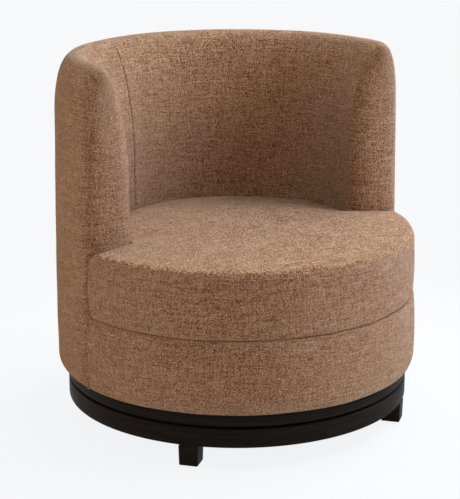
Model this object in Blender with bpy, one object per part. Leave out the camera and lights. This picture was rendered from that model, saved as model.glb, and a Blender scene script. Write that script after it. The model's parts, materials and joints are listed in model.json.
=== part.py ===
"""Swivel tub chair: a round upholstered barrel on two black rings with a ball-bearing swivel between them.

Metres, +Z up, floor at z = 0. The chair faces -Y, and the swivel's axis is the Z axis.
Angles round the chair are counted in degrees from the middle of the back (+Y), and grow towards +X.
"""

from math import atan2, cos, degrees, pi, radians, sin

import bmesh
import bpy
from mathutils import Matrix, Vector

GAP = 0.0003  # clearance between pieces that touch
FASTENER_SIDES = 6

# Feet and lower ring
GLIDE_HEIGHT = 0.0016
GLIDE_RADIUS = 0.013
FOOT_HEIGHT = 0.0417
FOOT_WIDTH_BOTTOM = 0.0374
FOOT_WIDTH_TOP = 0.0395
FOOT_EDGE = 0.0015
FOOT_INSET = 0.0015  # the foot's outer face lies this far inside the ring's edge
FOOT_BOLT_SHANK = 0.0035
FOOT_BOLT_HEAD = 0.0075
FOOT_BOLT_HEAD_HEIGHT = 0.004
FOOT_BOLT_DEPTH = 0.024  # how far the bolt reaches into the foot
ROUND_SIDES = 12

RING_INSET = 0.0195  # from the barrel's outside to the rings' outer edge
RING_WIDTH = 0.062
RING_EDGE = 0.0025  # round-over of the rings' outer edges
BASE_RING_HEIGHT = 0.0384
SWIVEL_GAP = 0.005
PLINTH_HEIGHT = 0.0270
RING_STEPS = 48

# Cross bars in the rings
BAR_WIDTH = 0.045
BAR_RECESS = 0.0065  # how far the bars stay back from the swivel gap
BAR_BORE = 0.021
BAR_HOUSING = 0.012  # how far the bars reach into their ring
WOOD_SCREW_SHANK = 0.002
WOOD_SCREW_HEAD = 0.004
WOOD_SCREW_HEAD_HEIGHT = 0.002
WOOD_SCREW_DEPTH = 0.018
FRAME_SCREW_DEPTH = 0.0135  # how far the plinth's screws reach into the seat frame

# Ball-bearing swivel
PLATE_SIDE = 0.190
PLATE_THICKNESS = 0.0025
PLATE_HOLE_SPREAD = 0.113  # from the axis to each corner hole
RACE_RADIUS = 0.070
RACE_WIDTH = 0.018
RACE_HEIGHT = 0.004
GROOVE_DEPTH = 0.0015
GROOVE_WIDTH = 0.0084
BALL_COUNT = 12
CAGE_THICKNESS = 0.0014
CAGE_WIDTH = 0.015
BALL_SIDES = 8
PLATE_BOLT_SHANK = 0.003
PLATE_BOLT_HEAD = 0.0055
PLATE_BOLT_HEAD_HEIGHT = 0.003
CENTRE_BOLT_SHANK = 0.0095
CENTRE_BOLT_HEAD = 0.016
CENTRE_BOLT_HEAD_HEIGHT = 0.005
CENTRE_NUT_HEIGHT = 0.006
CENTRE_WASHER_RADIUS = 0.017
CENTRE_WASHER_THICKNESS = 0.0015
TURNED_STEPS = 32

# Wooden frame inside the upholstery
DUST_COVER_INSET = 0.045  # from the frame's outer edge
DUST_COVER_THICKNESS = 0.0006
PLY = 0.018
FRAME_INSET = 0.0265  # wadding and cover outside the frame
FRAME_WIDTH = 0.077
POST_COUNT = 4
POST_WIDTH = 0.040
POST_DEPTH = 0.030
UPRIGHT_COUNT = 5
UPRIGHT_WIDTH = 0.030
UPRIGHT_DEPTH = 0.038
BOARD = 0.0027
RAIL_DROP = 0.042  # from the barrel's top to the top rail
FRAME_STEPS = 40
BACK_ARC_STEPS = 24

# Webbing under the seat
STRAP_COUNT = 4
WEBBING_WIDTH = 0.060
WEBBING_THICKNESS = 0.0015
WEBBING_PITCH = 0.112
WEBBING_INSET = 0.045  # from the frame's outer edge to the straps' ends
WEBBING_RISE = 0.0009  # how far the crossing straps go over and under the others

# Upholstered barrel
BARREL_RADIUS = 0.3715
BARREL_LEAN = 0.006  # how far the outside leans in from its foot up to its shoulder
WALL_THICKNESS = 0.1168
BARREL_BOTTOM = 0.115
BARREL_TOP = 0.7506
CREST_INSET = 0.0495  # from the outside to where the rounded top is highest
SHOULDER_DROP = 0.121  # outer rounding starts this far below the top
LINING_DROP = 0.250  # inner rounding starts this far below the top
SHOULDER_POWER = 2.4
LINING_POWER = 2.0
HEM_HEIGHT = 0.020
HEM_DEPTH = 0.009
ARM_ANGLE = 99.5  # from the middle of the back to the front of each arm
ARM_ROUNDING = 0.035
ARM_POWER = 2.8
ARM_TOP_DROP = 0.038  # how far the top comes down in the arm's front rounding
COVER = 0.006
FOAM_EASE = 0.0012  # between foam and the cover over it
WALL_STEPS = 24
ARM_STEPS = 4
ARM_TIP_SHARE = 0.012  # share of the arm's rounding at which its flat front lies
OUTER_STEPS = 5
INNER_STEPS = 4

# Seat and front band
SEAT_INSET = 0.0085  # how far the seat's front stays back from the barrel's outside
SEAM_HEIGHT = 0.2610
SEAM_PINCH = 0.0030
BAND_INSET = 0.0045
SEAT_EDGE_HEIGHT = 0.3945
SEAT_CROWN = 0.0165
SEAT_ROUNDING = 0.022
SEAT_SWELL = 0.0020
BAND_SWELL = 0.0020
SEAM_ROUNDING = 0.012
FOAM_SKIN = 0.012  # wadding and cover over the seat foam
SIDE_POINTS = 2 * (ARM_STEPS + 2)
FRONT_STEPS = 11
BACK_STEPS = 8
ROUNDING_STEPS = 3
CROWN_STEPS = 3
BAND_STEPS = 22


def make_material(name, colour, roughness, metallic=0.0):
    material = bpy.data.materials.new(name)
    material.use_nodes = True
    shader = material.node_tree.nodes["Principled BSDF"]
    shader.inputs["Base Color"].default_value = (*colour, 1.0)
    shader.inputs["Roughness"].default_value = roughness
    shader.inputs["Metallic"].default_value = metallic
    return material


def make_object(name, points, faces, material, smooth=30):
    mesh = bpy.data.meshes.new(name)
    mesh.from_pydata(points, [], faces)
    shape = bmesh.new()
    shape.from_mesh(mesh)
    bmesh.ops.recalc_face_normals(shape, faces=shape.faces)
    shape.to_mesh(mesh)
    shape.free()
    mesh.materials.append(material)
    mesh.shade_smooth()
    mesh.set_sharp_from_angle(angle=radians(smooth))
    piece = bpy.data.objects.new(name, mesh)
    bpy.context.collection.objects.link(piece)
    return piece


def around(radius, angle, height=0.0):
    """A point at an angle in degrees from the middle of the back."""
    return Vector((radius * sin(radians(angle)), radius * cos(radians(angle)), height))


def turned_data(profile, steps):
    """A closed profile of (radius, height) points turned full circle; radius 0 isn't allowed."""
    points, faces = [], []
    count = len(profile)
    for step in range(steps):
        for radius, height in profile:
            points.append(around(radius, 360 * step / steps, height))
    for step in range(steps):
        following = (step + 1) % steps
        for i in range(count):
            j = (i + 1) % count
            faces.append((step * count + i, step * count + j, following * count + j, following * count + i))
    return points, faces


def solid_turned_data(profile, steps):
    """A profile of (radius, height) points from top to bottom, closed on the axis by flat ends."""
    points, faces = [], []
    count = len(profile)
    for step in range(steps):
        for radius, height in profile:
            points.append(around(radius, 360 * step / steps, height))
    for step in range(steps):
        following = (step + 1) % steps
        for i in range(count - 1):
            a = step * count + i
            b = following * count + i
            faces.append((a, a + 1, b + 1, b))
    faces.append([step * count for step in range(steps)])
    faces.append([step * count + count - 1 for step in range(steps)])
    return points, faces


def arc_data(profile, start, end, steps):
    """A closed profile of (radius, height) points swept from one angle to another, with flat ends."""
    points, faces = [], []
    count = len(profile)
    for step in range(steps + 1):
        for radius, height in profile:
            points.append(around(radius, start + (end - start) * step / steps, height))
    for step in range(steps):
        for i in range(count):
            j = (i + 1) % count
            faces.append((step * count + i, step * count + j, (step + 1) * count + j, (step + 1) * count + i))
    faces.append(list(range(count)))
    faces.append(list(range(steps * count, steps * count + count)))
    return points, faces


def block_data(size, centre, turn=0.0):
    """A box of a size, turned about +Z by degrees and then moved to its centre."""
    rotation = Matrix.Rotation(radians(turn), 3, "Z")
    points = []
    for x in (-0.5, 0.5):
        for y in (-0.5, 0.5):
            for z in (-0.5, 0.5):
                corner = rotation @ Vector((x * size[0], y * size[1], z * size[2]))
                points.append(corner + Vector(centre))
    faces = [(0, 1, 3, 2), (4, 6, 7, 5), (0, 4, 5, 1), (2, 3, 7, 6), (0, 2, 6, 4), (1, 5, 7, 3)]
    return points, faces


def joined(parts):
    """Several lists of points and faces as one, which stay separate bodies."""
    points, faces = [], []
    for more_points, more_faces in parts:
        start = len(points)
        points.extend(more_points)
        faces.extend([[start + i for i in face] for face in more_faces])
    return points, faces


def moved(data, offset):
    points, faces = data
    return [Vector(point) + Vector(offset) for point in points], faces


def rectangle(inner, outer, bottom, top):
    return [(inner, bottom), (outer, bottom), (outer, top), (inner, top)]


def boolean(piece, tool_data, operation):
    """Cuts a hidden tool out of a piece, or joins it on."""
    name = f"{piece.name}_{operation.lower()}_{len(piece.modifiers)}"
    tool = make_object(name, *tool_data, piece.active_material)
    tool.hide_render = True
    tool.display_type = "WIRE"
    modifier = piece.modifiers.new(operation.title(), "BOOLEAN")
    modifier.operation = operation
    modifier.solver = "EXACT"
    modifier.object = tool


def drill(piece, places, radius, bottom, top):
    """Round holes along Z through a piece."""
    profile = [(radius, top), (radius, bottom)]
    holes = [moved(solid_turned_data(profile, FASTENER_SIDES), place) for place in places]
    boolean(piece, joined(holes), "DIFFERENCE")


def screw_data(place, head_z, tip_z, head_radius, head_height, shank_radius, sides=FASTENER_SIDES):
    """A screw along Z: the head's seat is at head_z, and the shank ends at tip_z, above or below it."""
    outward = 1 if head_z > tip_z else -1
    profile = [(head_radius, head_z + outward * head_height), (head_radius, head_z)]
    profile += [(shank_radius, head_z), (shank_radius, tip_z)]
    return moved(solid_turned_data(profile, sides), (place[0], place[1], 0))


# Radii and heights that follow from the driving dimensions
BARREL_SHOULDER_RADIUS = BARREL_RADIUS - BARREL_LEAN
BARREL_INNER_RADIUS = BARREL_RADIUS - WALL_THICKNESS
CREST_RADIUS = BARREL_RADIUS - CREST_INSET
SEAT_RADIUS = BARREL_RADIUS - SEAT_INSET
BAND_RADIUS = BARREL_RADIUS - BAND_INSET
FRAME_RADIUS = BARREL_RADIUS - FRAME_INSET
RING_RADIUS = BARREL_RADIUS - RING_INSET
DUST_COVER_RADIUS = FRAME_RADIUS - DUST_COVER_INSET
WEBBING_REACH = FRAME_RADIUS - WEBBING_INSET
FOOT_BOTTOM = GLIDE_HEIGHT + GAP
FOOT_TOP = FOOT_BOTTOM + FOOT_HEIGHT
BASE_BOTTOM = FOOT_TOP + GAP
BASE_TOP = BASE_BOTTOM + BASE_RING_HEIGHT
PLINTH_BOTTOM = BASE_TOP + SWIVEL_GAP
PLINTH_TOP = PLINTH_BOTTOM + PLINTH_HEIGHT
BASE_BAR_TOP = BASE_TOP - BAR_RECESS
PLINTH_BAR_BOTTOM = PLINTH_BOTTOM + BAR_RECESS
SWIVEL_HEIGHT = (BASE_TOP + PLINTH_BOTTOM) / 2
DUST_BOTTOM = PLINTH_TOP + GAP
FRAME_BOTTOM = DUST_BOTTOM + DUST_COVER_THICKNESS + GAP
RING_INNER = RING_RADIUS - RING_WIDTH
FRAME_INNER = FRAME_RADIUS - FRAME_WIDTH
MIDDLE_RADIUS = (BARREL_SHOULDER_RADIUS + BARREL_INNER_RADIUS) / 2
RAIL_TOP = BARREL_TOP - RAIL_DROP
RAIL_BOTTOM = RAIL_TOP - PLY
UPRIGHT_INNER = FRAME_RADIUS - UPRIGHT_DEPTH
SEAT_BOTTOM = SEAM_HEIGHT + GAP
DECK_TOP = SEAM_HEIGHT - GAP - WEBBING_THICKNESS - WEBBING_RISE
WEBBING_BOTTOM = DECK_TOP + GAP
BOARD_RADIUS = FRAME_RADIUS + GAP + BOARD
LINED_RADIUS = BOARD_RADIUS + GAP  # what lies outside the liner boards starts here
WALL_FACET = cos(radians(ARM_ANGLE / WALL_STEPS))  # from the wall's corners to the middles of its facets
LAST_UPRIGHT = ARM_ANGLE - degrees((ARM_ROUNDING + UPRIGHT_WIDTH / 2) / MIDDLE_RADIUS)
HALF_RAIL = LAST_UPRIGHT + degrees(UPRIGHT_WIDTH / 2 / MIDDLE_RADIUS)
RAIL_FACET = cos(radians(HALF_RAIL / BACK_ARC_STEPS))
CORNERS = {"front_left": 225, "front_right": 135, "back_left": 315, "back_right": 45}
QUARTERS = (0, 90, 180, 270)


def make_feet(wood, steel, nylon):
    """Four square tapered feet turned to face outwards, each with a glide below and a bolt from above."""
    centre = RING_RADIUS - FOOT_INSET - FOOT_WIDTH_BOTTOM / 2
    head_z = BASE_TOP - FOOT_BOLT_HEAD_HEIGHT - GAP
    tip_z = FOOT_TOP - FOOT_BOLT_DEPTH
    disc = [(GLIDE_RADIUS, GLIDE_HEIGHT), (GLIDE_RADIUS, 0)]
    for corner, angle in CORNERS.items():
        place = around(centre, angle)
        points, faces = block_data((1, 1, FOOT_HEIGHT), (0, 0, FOOT_BOTTOM + FOOT_HEIGHT / 2))
        shaped = []
        for point in points:
            width = FOOT_WIDTH_TOP if point.z > FOOT_BOTTOM + FOOT_HEIGHT / 2 else FOOT_WIDTH_BOTTOM
            flat = Matrix.Rotation(radians(-angle), 3, "Z") @ Vector((point.x * width, point.y * width, 0))
            shaped.append(flat + around(centre, angle, point.z))
        foot = make_object(f"foot_{corner}", shaped, faces, wood)
        bevel = foot.modifiers.new("Bevel", "BEVEL")
        bevel.width = FOOT_EDGE
        bevel.segments = 1
        drill(foot, [place], FOOT_BOLT_SHANK + GAP, tip_z - GAP, FOOT_TOP + PLY)
        make_object(f"glide_{corner}", *moved(solid_turned_data(disc, ROUND_SIDES), place), nylon)
        bolt = screw_data(place, head_z, tip_z, FOOT_BOLT_HEAD, FOOT_BOLT_HEAD_HEIGHT, FOOT_BOLT_SHANK)
        make_object(f"foot_bolt_{corner}", *bolt, steel)
    return [around(centre, angle) for angle in CORNERS.values()], head_z


def ring_profile(inner, outer, bottom, top, edge):
    """A ring's section with its outer edges taken off."""
    side = [(outer - edge, bottom), (outer, bottom + edge), (outer, top - edge), (outer - edge, top)]
    return [(inner, bottom), *side, (inner, top)]


def cross_bars(name, ring, bottom, top, open_side, wood):
    """Two bars half-lapped where they cross, let into the ring from its open side, +1 above or -1 below."""
    middle = (bottom + top) / 2
    reach = RING_INNER + BAR_HOUSING
    for axis, notch in (("x", (middle - GAP / 2, top + PLY)), ("y", (bottom - PLY, middle + GAP / 2))):
        turn = 0 if axis == "x" else 90
        size = (2 * reach, BAR_WIDTH, top - bottom)
        bar = make_object(f"{name}_bar_{axis}", *block_data(size, (0, 0, middle), turn), wood)
        notch_size = (BAR_WIDTH + 2 * GAP, BAR_WIDTH * 2, notch[1] - notch[0])
        boolean(bar, block_data(notch_size, (0, 0, sum(notch) / 2), turn), "DIFFERENCE")
        bore = [(BAR_BORE, top + PLY), (BAR_BORE, bottom - PLY)]
        boolean(bar, solid_turned_data(bore, ROUND_SIDES), "DIFFERENCE")
    low = bottom - (PLY if open_side < 0 else GAP)
    high = top + (PLY if open_side > 0 else GAP)
    start = RING_INNER - BAR_HOUSING
    pocket = (BAR_WIDTH + 2 * GAP, reach + GAP - start, high - low)
    centre = (start + reach + GAP) / 2
    middle = (low + high) / 2
    pockets = [block_data(pocket, around(centre, quarter, middle), -quarter) for quarter in QUARTERS]
    boolean(ring, joined(pockets), "DIFFERENCE")


def make_base(wood, foot_places, foot_head_z):
    """The lower ring, bored for the feet's bolts, and its bars."""
    profile = ring_profile(RING_INNER, RING_RADIUS, BASE_BOTTOM, BASE_TOP, RING_EDGE)
    ring = make_object("base_ring", *turned_data(profile, RING_STEPS), wood)
    drill(ring, foot_places, FOOT_BOLT_SHANK + GAP, BASE_BOTTOM - PLY, BASE_TOP)
    drill(ring, foot_places, FOOT_BOLT_HEAD + GAP, foot_head_z - GAP, BASE_TOP + PLY)
    cross_bars("base", ring, BASE_BOTTOM, BASE_BAR_TOP, -1, wood)


def make_plate(name, seat_z, outward, steel):
    """A square plate with a raised ball race; outward is the side the race stands on, +1 up or -1 down."""
    face = seat_z + outward * PLATE_THICKNESS
    crown = face + outward * RACE_HEIGHT
    middle = (seat_z + face) / 2
    sheet = block_data((PLATE_SIDE, PLATE_SIDE, PLATE_THICKNESS), (0, 0, middle), 45)
    plate = make_object(name, *sheet, steel)
    inner = RACE_RADIUS - RACE_WIDTH / 2
    outer = RACE_RADIUS + RACE_WIDTH / 2
    groove = [(RACE_RADIUS + GROOVE_WIDTH / 2, crown), (RACE_RADIUS, crown - outward * GROOVE_DEPTH)]
    groove.append((RACE_RADIUS - GROOVE_WIDTH / 2, crown))
    race = [(inner, middle), (outer, middle), (outer, crown), *groove, (inner, crown)]
    boolean(plate, turned_data(race, TURNED_STEPS), "UNION")
    places = [around(PLATE_HOLE_SPREAD, quarter) for quarter in QUARTERS]
    drill(plate, places, PLATE_BOLT_SHANK + GAP, seat_z - PLY, seat_z + PLY)
    bore = [(CENTRE_BOLT_SHANK + GAP, seat_z + PLY), (CENTRE_BOLT_SHANK + GAP, seat_z - PLY)]
    boolean(plate, solid_turned_data(bore, TURNED_STEPS), "DIFFERENCE")
    return crown, places


def make_swivel(steel, bright_steel):
    """Two pressed plates, balls in a cage between their races, and the bolt that holds them together."""
    lower_seat = BASE_BAR_TOP + GAP
    upper_seat = PLINTH_BAR_BOTTOM - GAP
    lower_crown, places = make_plate("lower_plate", lower_seat, 1, steel)
    upper_crown, places = make_plate("upper_plate", upper_seat, -1, steel)
    middle = (lower_crown + upper_crown) / 2
    slope = (GROOVE_DEPTH**2 + (GROOVE_WIDTH / 2) ** 2) ** 0.5
    ball_radius = ((upper_crown - lower_crown) / 2 + GROOVE_DEPTH) * (GROOVE_WIDTH / 2) / slope - GAP
    cage_profile = rectangle(
        RACE_RADIUS - CAGE_WIDTH / 2,
        RACE_RADIUS + CAGE_WIDTH / 2,
        middle - CAGE_THICKNESS / 2,
        middle + CAGE_THICKNESS / 2,
    )
    cage = make_object("ball_cage", *turned_data(cage_profile, TURNED_STEPS), bright_steel)
    latitudes = [radians(30), radians(90), radians(150)]
    ball_profile = [(ball_radius * sin(a), middle + ball_radius * cos(a)) for a in latitudes]
    ball_places = [around(RACE_RADIUS, 360 * i / BALL_COUNT) for i in range(BALL_COUNT)]
    balls = [moved(solid_turned_data(ball_profile, BALL_SIDES), place) for place in ball_places]
    boolean(cage, joined(balls), "UNION")
    bolt_size = (PLATE_BOLT_HEAD, PLATE_BOLT_HEAD_HEIGHT, PLATE_BOLT_SHANK)
    lower_head = lower_seat + PLATE_THICKNESS + GAP
    lower_tip = lower_head - WOOD_SCREW_DEPTH
    upper_head = upper_seat - PLATE_THICKNESS - GAP
    upper_tip = upper_head + WOOD_SCREW_DEPTH
    for index, place in enumerate(places):
        lower = screw_data(place, lower_head, lower_tip, *bolt_size)
        upper = screw_data(place, upper_head, upper_tip, *bolt_size)
        make_object(f"lower_plate_screw_{index + 1}", *lower, bright_steel)
        make_object(f"upper_plate_screw_{index + 1}", *upper, bright_steel)
    hole = PLATE_BOLT_SHANK + GAP
    for axis in "xy":
        drill(bpy.data.objects[f"base_bar_{axis}"], places, hole, lower_tip - GAP, lower_seat + PLY)
        drill(bpy.data.objects[f"plinth_bar_{axis}"], places, hole, upper_seat - PLY, upper_tip + GAP)
    washer_bottom = upper_seat + GAP
    nut_bottom = washer_bottom + CENTRE_WASHER_THICKNESS + GAP
    bolt_top = nut_bottom + CENTRE_NUT_HEIGHT
    head_z = lower_seat - GAP
    bolt = [(CENTRE_BOLT_SHANK, bolt_top), (CENTRE_BOLT_SHANK, head_z), (CENTRE_BOLT_HEAD, head_z)]
    bolt.append((CENTRE_BOLT_HEAD, head_z - CENTRE_BOLT_HEAD_HEIGHT))
    make_object("centre_bolt", *solid_turned_data(bolt, TURNED_STEPS // 2), bright_steel)
    bore = CENTRE_BOLT_SHANK + GAP
    washer = rectangle(bore, CENTRE_WASHER_RADIUS, washer_bottom, washer_bottom + CENTRE_WASHER_THICKNESS)
    make_object("centre_washer", *turned_data(washer, TURNED_STEPS // 2), bright_steel)
    nut = rectangle(bore, CENTRE_BOLT_HEAD, nut_bottom, bolt_top)
    make_object("centre_nut", *turned_data(nut, TURNED_STEPS // 2), bright_steel)


def make_plinth(wood, steel, cloth):
    """The upper ring and its bars, screwed up into the seat frame through the dust cover."""
    profile = ring_profile(RING_INNER, RING_RADIUS, PLINTH_BOTTOM, PLINTH_TOP, RING_EDGE)
    ring = make_object("plinth_ring", *turned_data(profile, RING_STEPS), wood)
    cross_bars("plinth", ring, PLINTH_BAR_BOTTOM, PLINTH_TOP, 1, wood)
    places = [around((RING_INNER + FRAME_INNER) / 2, quarter) for quarter in QUARTERS]
    tip_z = FRAME_BOTTOM + FRAME_SCREW_DEPTH
    head_z = PLINTH_BAR_BOTTOM - GAP
    hole = WOOD_SCREW_SHANK + GAP
    for index, place in enumerate(places):
        screw = screw_data(place, head_z, tip_z, WOOD_SCREW_HEAD, WOOD_SCREW_HEAD_HEIGHT, WOOD_SCREW_SHANK)
        make_object(f"plinth_screw_{index + 1}", *screw, steel)
    for axis in "xy":
        drill(bpy.data.objects[f"plinth_bar_{axis}"], places, hole, PLINTH_BAR_BOTTOM - PLY, FRAME_BOTTOM)
    sheet = [(DUST_COVER_RADIUS, DUST_BOTTOM + DUST_COVER_THICKNESS), (DUST_COVER_RADIUS, DUST_BOTTOM)]
    cover = make_object("dust_cover", *solid_turned_data(sheet, FRAME_STEPS), cloth)
    drill(cover, places, hole, DUST_BOTTOM - PLY, FRAME_BOTTOM + PLY)
    return places, tip_z


def make_frame(ply, board, screw_places, screw_tip):
    """Two plywood rings with posts between, and the barrel's uprights, top rail and liner boards."""
    outer = FRAME_RADIUS * RAIL_FACET
    bottom_profile = rectangle(FRAME_INNER, outer, FRAME_BOTTOM, FRAME_BOTTOM + PLY)
    bottom = make_object("frame_bottom_ring", *turned_data(bottom_profile, FRAME_STEPS), ply)
    drill(bottom, screw_places, WOOD_SCREW_SHANK + GAP, FRAME_BOTTOM - PLY, screw_tip + GAP)
    deck_bottom = DECK_TOP - PLY
    deck = rectangle(FRAME_INNER, outer, deck_bottom, DECK_TOP)
    make_object("deck_ring", *turned_data(deck, FRAME_STEPS), ply)
    post_bottom = FRAME_BOTTOM + PLY + GAP
    post_top = deck_bottom - GAP
    post_size = (POST_WIDTH, POST_DEPTH, post_top - post_bottom)
    for index in range(POST_COUNT):
        angle = 360 * (index + 0.5) / POST_COUNT
        centre = around((FRAME_RADIUS + FRAME_INNER) / 2, angle, (post_top + post_bottom) / 2)
        make_object(f"seat_post_{index + 1}", *block_data(post_size, centre, -angle), ply)
    upright_bottom = DECK_TOP + GAP
    upright_top = RAIL_BOTTOM - GAP
    corner_drop = UPRIGHT_WIDTH**2 / 8 / FRAME_RADIUS
    upright_outer = outer - corner_drop - GAP
    upright_size = (UPRIGHT_WIDTH, upright_outer - UPRIGHT_INNER - GAP, upright_top - upright_bottom)
    for index in range(UPRIGHT_COUNT):
        angle = LAST_UPRIGHT * (2 * index / (UPRIGHT_COUNT - 1) - 1)
        centre = around((upright_outer + UPRIGHT_INNER + GAP) / 2, angle, (upright_top + upright_bottom) / 2)
        make_object(f"upright_{index + 1}", *block_data(upright_size, centre, -angle), ply)
    rail = rectangle(UPRIGHT_INNER, FRAME_RADIUS, RAIL_BOTTOM, RAIL_TOP)
    make_object("top_rail", *arc_data(rail, -HALF_RAIL, HALF_RAIL, BACK_ARC_STEPS), ply)
    inner_board = rectangle(UPRIGHT_INNER - GAP - BOARD, UPRIGHT_INNER - GAP, upright_bottom, RAIL_TOP)
    make_object("inner_liner", *arc_data(inner_board, -HALF_RAIL, HALF_RAIL, BACK_ARC_STEPS), board)
    outer_board = rectangle(FRAME_RADIUS + GAP, BOARD_RADIUS, FRAME_BOTTOM, RAIL_TOP)
    make_object("outer_liner", *arc_data(outer_board, -HALF_RAIL, HALF_RAIL, BACK_ARC_STEPS), board)
    front_start = HALF_RAIL + degrees(GAP / FRAME_RADIUS)
    front = rectangle(FRAME_RADIUS + GAP, BOARD_RADIUS, FRAME_BOTTOM, DECK_TOP)
    make_object("front_board", *arc_data(front, front_start, 360 - front_start, BACK_ARC_STEPS), board)


def make_webbing(cloth):
    """Elastic straps woven over and under each other across the deck ring, joined where they cross."""
    offsets = [WEBBING_PITCH * (i - (STRAP_COUNT - 1) / 2) for i in range(STRAP_COUNT)]
    middle = WEBBING_BOTTOM + WEBBING_THICKNESS / 2
    ease = (WEBBING_PITCH - WEBBING_WIDTH) / 4
    lengthwise, crosswise = [], []
    for strap, offset in enumerate(offsets):
        reach = (WEBBING_REACH**2 - (abs(offset) + WEBBING_WIDTH / 2) ** 2) ** 0.5
        lengthwise.append(block_data((WEBBING_WIDTH, 2 * reach, WEBBING_THICKNESS), (offset, 0, middle)))
        stops = [(-reach, 0)]
        for place, across in enumerate(offsets):
            outermost = place in (0, STRAP_COUNT - 1)
            rise = WEBBING_RISE if outermost or (place + strap) % 2 == 0 else -WEBBING_RISE
            stops += [(across - WEBBING_WIDTH / 2 - ease, rise), (across + WEBBING_WIDTH / 2 + ease, rise)]
        stops.append((reach, 0))
        crosswise.append(ribbon_data(stops, offset, middle))
    webbing = make_object("seat_webbing", *joined(lengthwise), cloth)
    boolean(webbing, joined(crosswise), "UNION")


def ribbon_data(stops, offset, middle):
    """A flat strap along X through (x, rise) stops."""
    points, faces = [], []
    for x, rise in stops:
        for y in (-WEBBING_WIDTH / 2, WEBBING_WIDTH / 2):
            for z in (-WEBBING_THICKNESS / 2, WEBBING_THICKNESS / 2):
                points.append((x, offset + y, middle + rise + z))
    for i in range(len(stops) - 1):
        a = 4 * i
        b = a + 4
        faces += [(a, b, b + 1, a + 1), (a + 1, b + 1, b + 3, a + 3)]
        faces += [(a + 3, b + 3, b + 2, a + 2), (a + 2, b + 2, b, a)]
    last = 4 * (len(stops) - 1)
    faces += [(0, 1, 3, 2), (last, last + 2, last + 3, last + 1)]
    return points, faces


def quarter_round(start, crest, power, steps):
    """Points from start up to the crest on a quarter of a superellipse, without the crest itself."""
    across = start[0] - crest[0]
    rise = crest[1] - start[1]
    points = []
    for step in range(steps):
        angle = pi / 2 * step / steps
        radius = crest[0] + across * cos(angle) ** (2 / power)
        points.append((radius, start[1] + rise * sin(angle) ** (2 / power)))
    return points


def wall_sides(inset, bottom):
    """The barrel's section: outer and inner sides from the bottom up, and the crest between them."""
    shoulder = BARREL_TOP - SHOULDER_DROP
    lining = BARREL_TOP - LINING_DROP
    crest = (CREST_RADIUS, BARREL_TOP - inset)
    hem = BARREL_RADIUS - inset
    lean = BARREL_LEAN / 4
    outer = [(hem - HEM_DEPTH, bottom), (hem, bottom + HEM_HEIGHT)] if inset == 0 else [(hem, bottom)]
    outer += [(hem, SEAM_HEIGHT + HEM_HEIGHT), (hem - lean, SEAT_EDGE_HEIGHT + HEM_HEIGHT)]
    outer += quarter_round((BARREL_SHOULDER_RADIUS - inset, shoulder), crest, SHOULDER_POWER, OUTER_STEPS)
    wall = BARREL_INNER_RADIUS + inset
    inner = [(wall, bottom)]
    inner += quarter_round((wall, lining), crest, LINING_POWER, INNER_STEPS)
    return outer, inner, crest


def arm_scale(along):
    """How full the wall's section is at a share of the arm's rounding, from 0 at its front to 1 behind it."""
    return (1 - (1 - along) ** ARM_POWER) ** (1 / ARM_POWER)


def arm_columns(inset):
    """Where the arm's front rounding starts, and angle and fullness of its sections from the front back."""
    end = ARM_ANGLE - degrees(inset / MIDDLE_RADIUS)
    start = end - degrees((ARM_ROUNDING - inset / 2) / MIDDLE_RADIUS)
    shares = [ARM_TIP_SHARE] + [1 - cos(pi / 2 * i / (ARM_STEPS + 1)) for i in range(1, ARM_STEPS + 1)]
    return start, [(end + (start - end) * share, arm_scale(share)) for share in shares]


def wall_data(inset, bottom):
    """The barrel as one closed solid: the section swept round the back, drawn together at both arms."""
    outer, inner, crest = wall_sides(inset, bottom)
    section = outer + [crest] + inner[::-1]
    count = len(section)
    start, arm = arm_columns(inset)
    middle = [(start * (1 - 2 * i / WALL_STEPS), 1.0) for i in range(WALL_STEPS + 1)]
    columns = arm + middle + [(-angle, scale) for angle, scale in reversed(arm)]
    points, faces = [], []
    for angle, scale in columns:
        for radius, height in section:
            near_top = max(0.0, min(1.0, (height - (BARREL_TOP - LINING_DROP)) / LINING_DROP))
            drop = (1 - scale) * ARM_TOP_DROP * near_top**2
            centre = MIDDLE_RADIUS + (CREST_RADIUS - MIDDLE_RADIUS) * near_top
            points.append(around(centre + (radius - centre) * scale, angle, height - drop))
    for column in range(len(columns) - 1):
        for i in range(count):
            j = (i + 1) % count
            a = column * count
            faces.append((a + i, a + j, a + count + j, a + count + i))
    faces.append(list(range(count)))
    faces.append(list(range(len(points) - count, len(points))))
    return points, faces


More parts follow.
